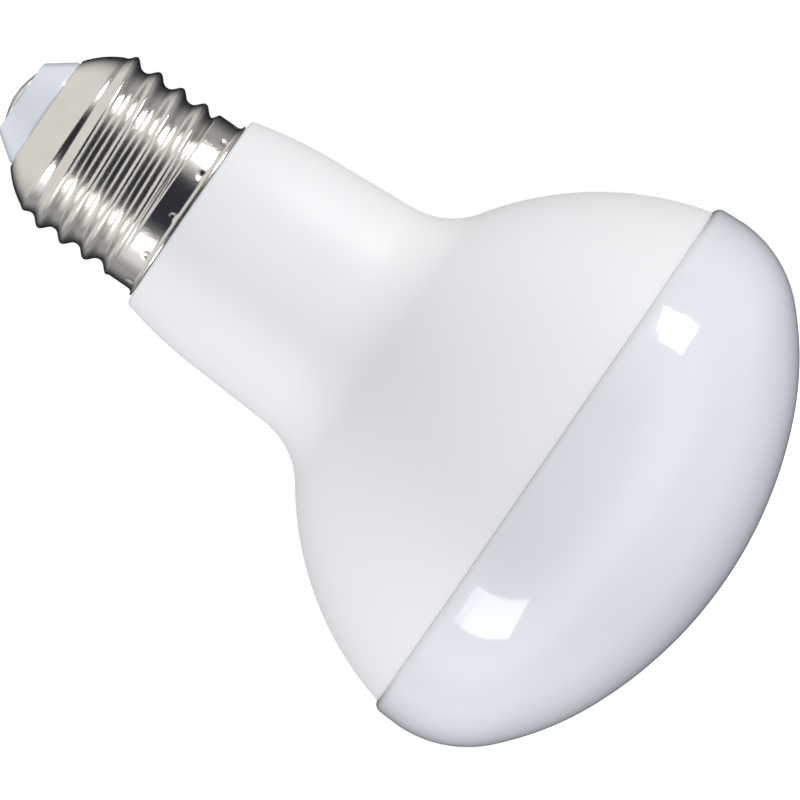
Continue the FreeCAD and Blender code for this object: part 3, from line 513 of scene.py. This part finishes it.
def dimple(turned, height):
    """How deep the nearest punched dimple is at this place."""
    spacing = 360 / DIMPLES
    nearest = SHELL_TURN + round((turned - SHELL_TURN) / spacing) * spacing
    aside = math.radians(turned - nearest) * SKIRT_RADIUS
    share = math.hypot(aside, height - DIMPLE_Z) / DIMPLE_RADIUS
    return DIMPLE_DEPTH * (1 - share * share) if share < 1 else 0


def press_sheet(piece):
    """Move each point of the cup's wall in or out to the thread or the dimple."""
    for vertex in piece.data.vertices:
        x, y, height = (along / MM for along in vertex.co)
        radius = math.hypot(x, y)
        turned = math.degrees(math.atan2(y, x))
        if radius < SHOULDER_RADIUS:
            continue
        if height > RUN_IN[0]:
            new_radius = rolled(radius, turned, height)
        else:
            new_radius = radius - dimple(turned, height)
        vertex.co.x *= new_radius / radius
        vertex.co.y *= new_radius / radius


press_sheet(nickel_shell)
print("thread of", PITCH, "mm pitch and", DIMPLES, "dimples pressed")

# %% [markdown]
# ## The sheet's thickness
#
# So far the shell is a skin. A Solidify modifier gives it the thickness of the sheet, towards
# the inside, so that the thread shows in the bore too, as it does on the real shell. Which
# side is the inside depends on the faces' normals, so these are turned outwards first.

# %% Thicken the shell
def face_out(piece):
    """Turn an open round sheet's faces away from the axis."""
    outward = 0
    for face in piece.data.polygons:
        outward += face.normal.dot(Vector((face.center.x, face.center.y, 0)))
    if outward < 0:
        make_active(piece)
        bpy.ops.object.mode_set(mode="EDIT")
        bpy.ops.mesh.select_all(action="SELECT")
        bpy.ops.mesh.flip_normals()
        bpy.ops.object.mode_set(mode="OBJECT")
    print(piece.name, "faced inwards and was turned" if outward < 0 else "faces outwards")


def thicken(piece, thickness):
    """Give an open sheet its thickness towards the inside."""
    make_active(piece)
    bpy.ops.object.modifier_add(type="SOLIDIFY")
    wall = piece.modifiers[-1]
    wall.thickness = thickness * MM
    wall.offset = -1
    bpy.ops.object.modifier_apply(modifier=wall.name)


face_out(nickel_shell)
thicken(nickel_shell, SHEET - SLIP)
smooth(nickel_shell)
stand_for(nickel_shell, "screw_shell")
print("sheet of", SHEET - SLIP, "mm with", len(nickel_shell.data.polygons), "faces")

# %% [markdown]
# ## The insulator and the centre contact
#
# The insulator is a small glossy cone pressed into the shell's end, hollow underneath, and the
# contact is a nail with a low domed head. Both are plain turned shapes, so the pen and the
# lathe are enough. The cone's end gets a small round, because a moulded edge always catches
# the light.

# %% Draw the insulator
CONE_FOOT_RADIUS = 7.9
CONE_END_RADIUS = 5.3
CONE_ROUND = 0.2
CONE_BULGE = CONE_ROUND * 0.25
CONE_RISE = 0.45
CONE_FOOT_Z = SHELL_Z + CONE_RISE
HOLLOW_DEPTH = 3.2
HOLLOW_LEAN = 1.6
SHANK_RADIUS = 1.2


def draw_insulator():
    """Round the hollow underneath, up beside the shell's shoulder and over the cone."""
    hole = SHANK_RADIUS + SLIP / 2
    bottom = SPIGOT_Z + SLIP
    mouth = SPIGOT_RADIUS - SPIGOT_WALL
    roof_z = bottom + HOLLOW_DEPTH
    under = SHELL_Z - SHEET - SLIP / 2
    piece = start_section("cap_cone", hole, roof_z)
    line_to(mouth - HOLLOW_LEAN, roof_z)
    line_to(mouth, bottom)
    line_to(SPIGOT_RADIUS, bottom)
    line_to(SPIGOT_RADIUS, SHOULDER_Z - SHEET / 2)
    bow_to(SHOULDER_RADIUS - SHEET / 2, under, SHOULDER_BULGE, steps=12)
    line_to(CONE_FOOT_RADIUS, under)
    line_to(CONE_FOOT_RADIUS, CONE_FOOT_Z)
    slope = Vector((CONE_END_RADIUS - CONE_FOOT_RADIUS, CAP_Z - CONE_FOOT_Z)).normalized()
    stop = Vector((CONE_END_RADIUS, CAP_Z)) - slope * CONE_ROUND
    line_to(stop.x, stop.y, steps=4)
    bow_to(CONE_END_RADIUS - CONE_ROUND, CAP_Z, CONE_BULGE, steps=4)
    line_to(hole, CAP_Z)
    line_to(hole, roof_z)
    lathe(piece, SIDES // 2)
    smooth(piece)
    stand_for(piece, "cap_insulator")
    return piece


cap_cone = draw_insulator()
print("cone's end at", round(CAP_Z, 2))

# %% Draw the contact
HEAD_RADIUS = 3.7
HEAD_FLAT = 0.9
HEAD_EDGE = 0.1
HEAD_BULGE = 0.06


def draw_contact():
    """Up the shank and over the head, which is flat in the middle and bowed round it."""
    shank_end = foot_of("centre_contact")
    piece = start_section("contact_nail", 0, shank_end)
    line_to(SHANK_RADIUS, shank_end)
    line_to(SHANK_RADIUS, CAP_Z)
    line_to(HEAD_RADIUS, CAP_Z)
    line_to(HEAD_RADIUS, CAP_Z + HEAD_EDGE)
    bow_to(HEAD_FLAT, TIP_Z, HEAD_BULGE, steps=12)
    line_to(0, TIP_Z)
    lathe(piece, SIDES // 2)
    smooth(piece)
    stand_for(piece, "centre_contact")
    return piece


contact_nail = draw_contact()
print("contact's tip at", round(TIP_Z, 2))

# %% [markdown]
# ## Helpers for materials
#
# A finish is a small graph of nodes. Colours are written as the hex values that a picture
# editor shows, so one function turns them into linear light. Another adds a node with its
# settings and links, which keeps each material short enough to read as a list.

# %% Colours and nodes
COLOUR_A = 6
COLOUR_B = 7
COLOUR_OUT = 2


def linear(hex_colour):
    """An sRGB hex colour as linear red, green, blue and alpha."""
    parts = [int(hex_colour[i : i + 2], 16) / 255 for i in (1, 3, 5)]
    light = [part / 12.92 if part <= 0.04045 else ((part + 0.055) / 1.055) ** 2.4 for part in parts]
    return light + [1]


def add_node(tree, kind, settings=None, links=None):
    """Add a node, set its properties and sockets, and link other nodes' sockets into it."""
    node = tree.nodes.new(kind)
    for name, value in (settings or {}).items():
        if name in node.inputs:
            node.inputs[name].default_value = value
        else:
            setattr(node, name, value)
    for name, source in (links or {}).items():
        tree.links.new(source, node.inputs[name])
    return node


def feed(tree, socket, value):
    """Link another node's socket into this one, or set this one to a plain value."""
    if isinstance(value, bpy.types.NodeSocket):
        tree.links.new(value, socket)
    else:
        socket.default_value = value


def mix_colours(tree, share, low, high):
    """A colour between two, each a socket or a linear colour, by a share from 0 to 1."""
    mix = add_node(tree, "ShaderNodeMix", {"data_type": "RGBA"})
    feed(tree, mix.inputs[COLOUR_A], low)
    feed(tree, mix.inputs[COLOUR_B], high)
    tree.links.new(share, mix.inputs[0])
    return mix.outputs[COLOUR_OUT]


def maths(tree, operation, first, second, clamp=False):
    """One step of arithmetic on two values, each a socket or a number."""
    node = add_node(tree, "ShaderNodeMath", {"operation": operation, "use_clamp": clamp})
    feed(tree, node.inputs[0], first)
    feed(tree, node.inputs[1], second)
    return node.outputs[0]


print("white is", [round(value, 3) for value in linear("#FFFFFF")])

# %% [markdown]
# ## Patterns at a real size
#
# Grain, specks and waves have a size on the real thing, so they are asked for in millimetres.
# They read the object's own places, which makes them stay on the piece when it moves.

# %% Materials and patterns
def new_material(name, **shader_values):
    """A material with its constants set on the shader itself, and the object's own places."""
    material = bpy.data.materials.new(name)
    material.use_nodes = True
    tree = material.node_tree
    shader = tree.nodes["Principled BSDF"]
    for socket, value in shader_values.items():
        shader.inputs[socket].default_value = value
    places = add_node(tree, "ShaderNodeTexCoord").outputs["Object"]
    return material, tree, shader, places


def per_mm(size):
    """The scale that makes a pattern's cells this many millimetres wide, in a metre frame."""
    return 1 / (size * MM)


def grain(tree, places, size, detail=2.0):
    """Noise with cells of the given size in millimetres."""
    settings = {"Scale": per_mm(size), "Detail": detail}
    return add_node(tree, "ShaderNodeTexNoise", settings, {"Vector": places}).outputs["Fac"]


def spread(tree, value, low, high, to_low=0.0, to_high=1.0):
    """Map a value from one range to another, clamped."""
    settings = {"From Min": low, "From Max": high, "To Min": to_low, "To Max": to_high}
    return add_node(tree, "ShaderNodeMapRange", settings, {"Value": value}).outputs["Result"]


def colour_between(tree, shader, share, low, high):
    """Give the shader a colour between two hex colours, by a share from 0 to 1."""
    colour = mix_colours(tree, share, linear(low), linear(high))
    tree.links.new(colour, shader.inputs["Base Color"])


def bump(tree, shader, height, depth):
    """Raise the surface by height times depth, which is in millimetres."""
    made = add_node(tree, "ShaderNodeBump", {"Distance": depth * MM}, {"Height": height})
    tree.links.new(made.outputs["Normal"], shader.inputs["Normal"])


def paint(piece, material):
    """Give every face of a piece one material."""
    piece.data.materials.clear()
    piece.data.materials.append(material)


print("a grain of one millimetre has the scale", per_mm(1))

# %% [markdown]
# ## Opal plastic
#
# The dome is opal polycarbonate, moulded against a polished steel form. It is cool white, it
# has a hard gloss that mirrors the softboxes, and where the collar doubles over the tongue its
# colour carries a painted shade, a little greyer. A very low, wide wave keeps the reflections
# from being ruler straight.

# %% Opal polycarbonate
# The heights over which the painted shade of the doubled collar fades in.
COLLAR_SHADE_SPAN = (COLLAR_Z - 1.9, COLLAR_Z - 1.1)


def opal_polycarbonate():
    """A cool white with a hard gloss, and a painted shade that makes it greyer from the collar on.
    """
    values = {"Roughness": 0.075, "IOR": 1.58}
    material, tree, shader, places = new_material("opal_polycarbonate", **values)
    height = add_node(tree, "ShaderNodeSeparateXYZ", None, {"Vector": places}).outputs["Z"]
    # Painted shade: from the collar on, the colour turns greyer, where the doubled wall lets less
    # light through.
    collar = spread(tree, height, COLLAR_SHADE_SPAN[0] * MM, COLLAR_SHADE_SPAN[1] * MM)
    cloud = grain(tree, places, size=14.0)
    body = mix_colours(tree, cloud, linear("#E8ECF1"), linear("#EBEEF3"))
    # EAEBEE is the collar's painted shade.
    colour = mix_colours(tree, collar, body, linear("#EAEBEE"))
    tree.links.new(colour, shader.inputs["Base Color"])
    bump(tree, shader, grain(tree, places, size=9.0, detail=1.0), depth=0.02)
    return material


paint(opal_dome, opal_polycarbonate())
print(opal_dome.name, "wears", opal_dome.active_material.name)

# %% [markdown]
# ## Satin white plastic
#
# The housing is white PBT from an eroded mould, so it is satin: the finest grain scatters the
# light and no reflection has an edge. The real grain is under a tenth of a millimetre, and it
# is drawn at a quarter of a millimetre so that it just shows.

# %% Satin polyester
def satin_polyester():
    """A neutral white whose gloss has no edge."""
    values = {"Roughness": 0.48, "IOR": 1.55}
    material, tree, shader, places = new_material("satin_polyester", **values)
    fine = grain(tree, places, size=0.25, detail=3.0)
    colour_between(tree, shader, grain(tree, places, size=18.0), "#F7F7F8", "#F9F9F9")
    gloss = spread(tree, fine, 0.3, 0.7, to_low=0.44, to_high=0.52)
    tree.links.new(gloss, shader.inputs["Roughness"])
    bump(tree, shader, fine, depth=0.012)
    return material


paint(white_housing, satin_polyester())
print(white_housing.name, "wears", white_housing.active_material.name)

# %% [markdown]
# ## Nickel plate
#
# The shell is brass sheet with bright nickel plate, which is a warm grey mirror. Rolling,
# plating and handling leave it covered in fine specks, drawn here about a fifth of a
# millimetre wide. They differ a little in height and gloss, and break up every reflection. A
# metal needs no IOR of its own.
#
# The contact is plated too, but smoother and lighter. The insulator between them is a glossy
# polyester like the housing's, with a bluish pigment.

# %% Nickel and the cone's plastic
def bright_nickel():
    """A warm grey mirror, broken up by fine specks."""
    material, tree, shader, places = new_material("bright_nickel", Metallic=1.0)
    fleck = grain(tree, places, size=0.18)
    colour_between(tree, shader, grain(tree, places, size=4.0), "#D2CEC8", "#DCD9D4")
    gloss = spread(tree, fleck, 0.35, 0.75, to_low=0.10, to_high=0.27)
    tree.links.new(gloss, shader.inputs["Roughness"])
    bump(tree, shader, fleck, depth=0.022)
    return material


def contact_nickel():
    """A soft, pale mirror: the contact is struck from brass and plated."""
    values = {"Metallic": 1.0, "Roughness": 0.25}
    material, tree, shader, places = new_material("contact_nickel", **values)
    cloud = grain(tree, places, size=0.8, detail=3.0)
    colour_between(tree, shader, cloud, "#F8F8F9", "#FCFCFC")
    bump(tree, shader, cloud, depth=0.01)
    return material


def glossy_polyester():
    """A cool white with a clear gloss, slightly wavy from its mould."""
    values = {"Roughness": 0.2, "IOR": 1.55}
    material, tree, shader, places = new_material("glossy_polyester", **values)
    cloud = grain(tree, places, size=3.0)
    colour_between(tree, shader, cloud, "#EAEFF6", "#EEF2F8")
    bump(tree, shader, cloud, depth=0.02)
    return material


paint(nickel_shell, bright_nickel())
paint(contact_nail, contact_nickel())
paint(cap_cone, glossy_polyester())
for piece in (nickel_shell, contact_nail, cap_cone):
    print(piece.name, "wears", piece.active_material.name)

# %% [markdown]
# ## The pieces inside
#
# Nothing of the light engine or the driver shows while the lamp is whole, but the model can be
# taken apart, so each piece keeps its frame shape and gets the finish of the real one. They
# share one recipe: two close colours, the width and depth of a grain in millimetres, and the
# gloss of the real material. INNER holds the recipes, and WEARS says which piece wears which.

# %% Recipes for the inner materials
INNER = {
    "stamped_aluminium": ("#C9C9CB", "#D6D6D8", 0.6, 0.006, {"Metallic": 1.0, "Roughness": 0.34}),
    "white_solder_mask": ("#EFEFEB", "#F4F4F1", 1.5, 0.004, {"Roughness": 0.35, "IOR": 1.5}),
    "diode_silicone": ("#EFCB45", "#F3D65C", 0.4, 0.01, {"Roughness": 0.3, "IOR": 1.41}),
    "zinc_plated_steel": ("#B9BBBD", "#C8CACC", 0.5, 0.008, {"Metallic": 1.0, "Roughness": 0.3}),
    "glass_fibre_board": ("#1F5C35", "#276B3F", 0.5, 0.006, {"Roughness": 0.32, "IOR": 1.52}),
    "shrunk_sleeve": ("#15171C", "#1D2026", 1.2, 0.008, {"Roughness": 0.28, "IOR": 1.53}),
    "film_capacitor_case": ("#C99A2B", "#D3A537", 0.6, 0.01, {"Roughness": 0.42, "IOR": 1.5}),
    "pressed_ferrite": ("#2A2A2C", "#363638", 0.15, 0.02, {"Roughness": 0.6, "IOR": 2.0}),
    "enamelled_copper": ("#9A4A22", "#B4602F", 0.3, 0.03, {"Metallic": 1.0, "Roughness": 0.3}),
    "moulded_epoxy": ("#161616", "#202020", 0.2, 0.01, {"Roughness": 0.5, "IOR": 1.55}),
    "flameproof_coat": ("#5E8A78", "#6C9886", 0.4, 0.02, {"Roughness": 0.5, "IOR": 1.5}),
    "wire_insulation": ("#A81C16", "#B4241D", 0.8, 0.006, {"Roughness": 0.38, "IOR": 1.5}),
    "tinned_copper": ("#B9B4AC", "#C9C5BE", 0.3, 0.01, {"Metallic": 1.0, "Roughness": 0.28}),
    "natural_nylon": ("#E3E0D4", "#ECE9DF", 0.8, 0.008, {"Roughness": 0.42, "IOR": 1.53}),
}
WEARS = {
    "heat_spreader": "stamped_aluminium",
    "led_board": "white_solder_mask",
    "board_screws": "zinc_plated_steel",
    "driver_board": "glass_fibre_board",
    "input_capacitor": "shrunk_sleeve",
    "output_capacitor": "shrunk_sleeve",
    "film_capacitor": "film_capacitor_case",
    "choke_core": "pressed_ferrite",
    "choke_winding": "enamelled_copper",
    "bridge_rectifier": "moulded_epoxy",
    "driver_chip": "moulded_epoxy",
    "output_diode": "moulded_epoxy",
    "fusible_resistor": "flameproof_coat",
    "live_lead": "wire_insulation",
    "neutral_lead": "tinned_copper",
    "output_pins": "tinned_copper",
    "pin_socket": "natural_nylon",
}
print(len(INNER), "recipes for", len(WEARS), "pieces and the diodes")

# %% Paint the pieces inside
def inner_material(name, low, high, grain_size, depth, values):
    """One material from its recipe."""
    material, tree, shader, places = new_material(name, **values)
    cloud = grain(tree, places, grain_size, detail=3.0)
    colour_between(tree, shader, cloud, low, high)
    bump(tree, shader, cloud, depth)
    return material


inner_materials = {name: inner_material(name, *recipe) for name, recipe in INNER.items()}
for node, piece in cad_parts.items():
    if node in WEARS:
        paint(piece, inner_materials[WEARS[node]])
    elif node.startswith("led_"):
        paint(piece, inner_materials["diode_silicone"])
print(len(inner_materials), "inner materials")

# %% [markdown]
# ## The softboxes
#
# A white lamp on white needs shape from its lights. Two softboxes stand far to the left and
# right, so the middle of each round form, which faces the camera, is its darkest part. They
# also give the two bright windows on the dome. Where such a window lies tells where its
# softbox stands, so each is given by the angles at which the dome sees it.

# %% Softboxes
SOFTBOX_AWAY = 1100.0
DOME_MIDDLE = Vector((0, 0, 20.0))


def span(degrees):
    """The width, in metres, of what fills this angle at the softboxes' distance."""
    return 2 * SOFTBOX_AWAY * math.tan(math.radians(degrees / 2)) * MM


def softbox(name, azimuth, elevation, wide, tall, radiance, tilt):
    """An area lamp at azimuth from the camera's side, turned by tilt about its own beam.

    All but the radiance are angles in degrees, as seen from the dome's middle.
    """
    turned = math.radians(azimuth)
    tipped = math.radians(elevation)
    level = math.cos(tipped)
    ahead = Vector((math.sin(turned) * level, -math.cos(turned) * level, math.sin(tipped)))
    data = bpy.data.lights.new(name, "AREA")
    data.shape = "RECTANGLE"
    data.size = span(wide)
    data.size_y = span(tall)
    data.energy = radiance * data.size * data.size_y * math.pi
    box = bpy.data.objects.new(name, data)
    bpy.context.scene.collection.objects.link(box)
    box.location = (DOME_MIDDLE + ahead * SOFTBOX_AWAY) * MM
    facing = ahead.to_track_quat("Z", "Y").to_matrix()
    box.rotation_euler = (facing @ Matrix.Rotation(math.radians(tilt), 3, "Z")).to_euler()
    print(name, "power", round(data.energy, 2))


softbox(
    "softbox_right", azimuth=70.4, elevation=-5.6, wide=14.6, tall=20.5, radiance=18.5, tilt=6.5
)
softbox(
    "softbox_left", azimuth=-64.3, elevation=-12.4, wide=20, tall=34.5, radiance=4.3, tilt=2.5
)

# %% [markdown]
# ## The fill and the room
#
# The world plays two parts. Matt surfaces get a soft fill from above and below, and a little
# from the front and the left. Polished ones mirror a room that is dark in front of the lamp
# and behind it and pale at the sides, with a pale ceiling, and this draws the dark stripes in
# the metal. ROOM_TONES gives the room's tones from the front, at 0, to the back, at 1.

# %% Levels of the fill and the room
FILL = (0.985, 1.0, 1.035, 1)
FILL_ABOVE = 0.715
FILL_BELOW = 0.76
FILL_FRONT = 0.31
FILL_LEFT = 0.37
ROOM_TONES = (
    (0.0, 0.03),
    (0.075, 0.03),
    (0.12, 0.25),
    (0.17, 0.6),
    (0.25, 1.0),
    (0.44, 1.0),
    (0.55, 0.5),
    (0.65, 0.36),
    (0.73, 0.5),
    (0.83, 0.3),
    (0.91, 0.09),
    (0.97, 0.02),
)
ROOM_BLUE = 0.012
ROOM_LEAN = 0.2
OVERHEAD = (0.95, 0.94, 0.92, 1)
CEILING_FROM_TO = (0.3, 0.65)
BEHIND_FROM_TO = (0.9, 0.985)
BEHIND_LEVELS = (1.0, 0.04)


def fill_light(tree, parts):
    """Soft light on matt surfaces: from above and below, and less from the front and the left."""
    above = maths(tree, "MULTIPLY", parts.outputs["Z"], FILL_ABOVE, clamp=True)
    below = maths(tree, "MULTIPLY", parts.outputs["Z"], -FILL_BELOW, clamp=True)
    upright = maths(tree, "ADD", above, below)
    front = maths(tree, "MULTIPLY", parts.outputs["Y"], -FILL_FRONT, clamp=True)
    left = maths(tree, "MULTIPLY", parts.outputs["X"], -FILL_LEFT, clamp=True)
    level = maths(tree, "ADD", front, left)
    strength = maths(tree, "ADD", upright, level)
    return add_node(tree, "ShaderNodeBackground", {"Color": FILL}, {"Strength": strength})


def room_tones(tree, depth_share):
    """The room's tones over its depth, as a ramp that is very slightly blue."""
    ramp = add_node(tree, "ShaderNodeValToRGB", None, {"Fac": depth_share})
    stops = ramp.color_ramp.elements
    while len(stops) < len(ROOM_TONES):
        stops.new(0.5)
    for stop, (place, tone) in zip(stops, ROOM_TONES):
        stop.position = place
        stop.color = (tone, tone, tone + ROOM_BLUE, 1)
    return ramp.outputs["Color"]


def room_light(tree, parts):
    """What polished surfaces mirror: a dark room, pale walls at the sides, a pale ceiling."""
    depth = maths(tree, "ADD", parts.outputs["Y"], 1)
    sideness = maths(tree, "MULTIPLY", depth, maths(tree, "SUBTRACT", 2, depth))
    across = maths(tree, "MULTIPLY", parts.outputs["X"], ROOM_LEAN)
    lean = maths(tree, "MULTIPLY", sideness, across)
    tones = room_tones(tree, spread(tree, maths(tree, "ADD", depth, lean), 0, 2))
    above = spread(tree, parts.outputs["Z"], *CEILING_FROM_TO)
    colour = mix_colours(tree, above, tones, OVERHEAD)
    behind = spread(tree, parts.outputs["Y"], *BEHIND_FROM_TO, *BEHIND_LEVELS)
    return add_node(tree, "ShaderNodeBackground", None, {"Color": colour, "Strength": behind})


print("room of", len(ROOM_TONES), "tones")

# %% Build the world
def mix_shaders(tree, share, low, high):
    """One background where share is 0 and another where it is 1."""
    mix = add_node(tree, "ShaderNodeMixShader", None, {"Fac": share})
    tree.links.new(low.outputs[0], mix.inputs[1])
    tree.links.new(high.outputs[0], mix.inputs[2])
    return mix


def studio_world():
    """White to the camera, a soft fill on matt surfaces, and a room in reflections."""
    world = bpy.data.worlds.new("studio")
    world.use_nodes = True
    tree = world.node_tree
    tree.nodes.clear()
    path = add_node(tree, "ShaderNodeLightPath").outputs
    places = add_node(tree, "ShaderNodeTexCoord").outputs["Generated"]
    parts = add_node(tree, "ShaderNodeSeparateXYZ", None, {"Vector": places})
    white = add_node(tree, "ShaderNodeBackground", {"Color": (1, 1, 1, 1), "Strength": 1.0})
    fill = fill_light(tree, parts)
    room = room_light(tree, parts)
    lit = mix_shaders(tree, path["Is Glossy Ray"], fill, room)
    straight = maths(tree, "ADD", path["Is Camera Ray"], path["Is Transmission Ray"], clamp=True)
    seen = mix_shaders(tree, straight, lit, white)
    add_node(tree, "ShaderNodeOutputWorld", None, {"Surface": seen.outputs[0]})
    bpy.context.scene.world = world
    print(world.name, "world of", len(tree.nodes), "nodes")


studio_world()
bpy.context.scene.view_settings.view_transform = "Standard"

# %% [markdown]
# ## The floor
#
# The lamp stands on its dome on a sheet of white paper, and the camera looks almost along the
# sheet. The paper glows a little, to stay as pale as the white background, but it lights
# nothing and mirrors in nothing, which leaves the lamp's tones to the softboxes and the world.

# %% Lay the floor
FLOOR_SIZE = 1600
FLOOR_DROP = 0.02
PAPER = (0.9, 0.9, 0.9, 1)
PAPER_GLOW = 0.62


def paper_sweep():
    """Matt white paper that glows a little to the camera, so that it stays pale."""
    values = {"Base Color": PAPER, "Roughness": 1.0, "Specular IOR Level": 0.0}
    material, tree, shader, _ = new_material("paper_sweep", **values)
    shader.inputs["Emission Color"].default_value = (1, 1, 1, 1)
    path = add_node(tree, "ShaderNodeLightPath")
    glow = maths(tree, "MULTIPLY", path.outputs["Is Camera Ray"], PAPER_GLOW)
    tree.links.new(glow, shader.inputs["Emission Strength"])
    return material


def pale_floor():
    """A white sheet just under the lamp, which is not attached to the lamp's body."""
    bpy.ops.object.select_all(action="DESELECT")
    bpy.ops.mesh.primitive_plane_add(size=FLOOR_SIZE * MM, location=(0, 0, -FLOOR_DROP * MM))
    floor = bpy.context.object
    floor.name = "floor"
    paint(floor, paper_sweep())
    floor.visible_glossy = False
    floor.visible_diffuse = False
    floor.visible_shadow = False
    print(floor.name, "of", FLOOR_SIZE, "mm")


pale_floor()
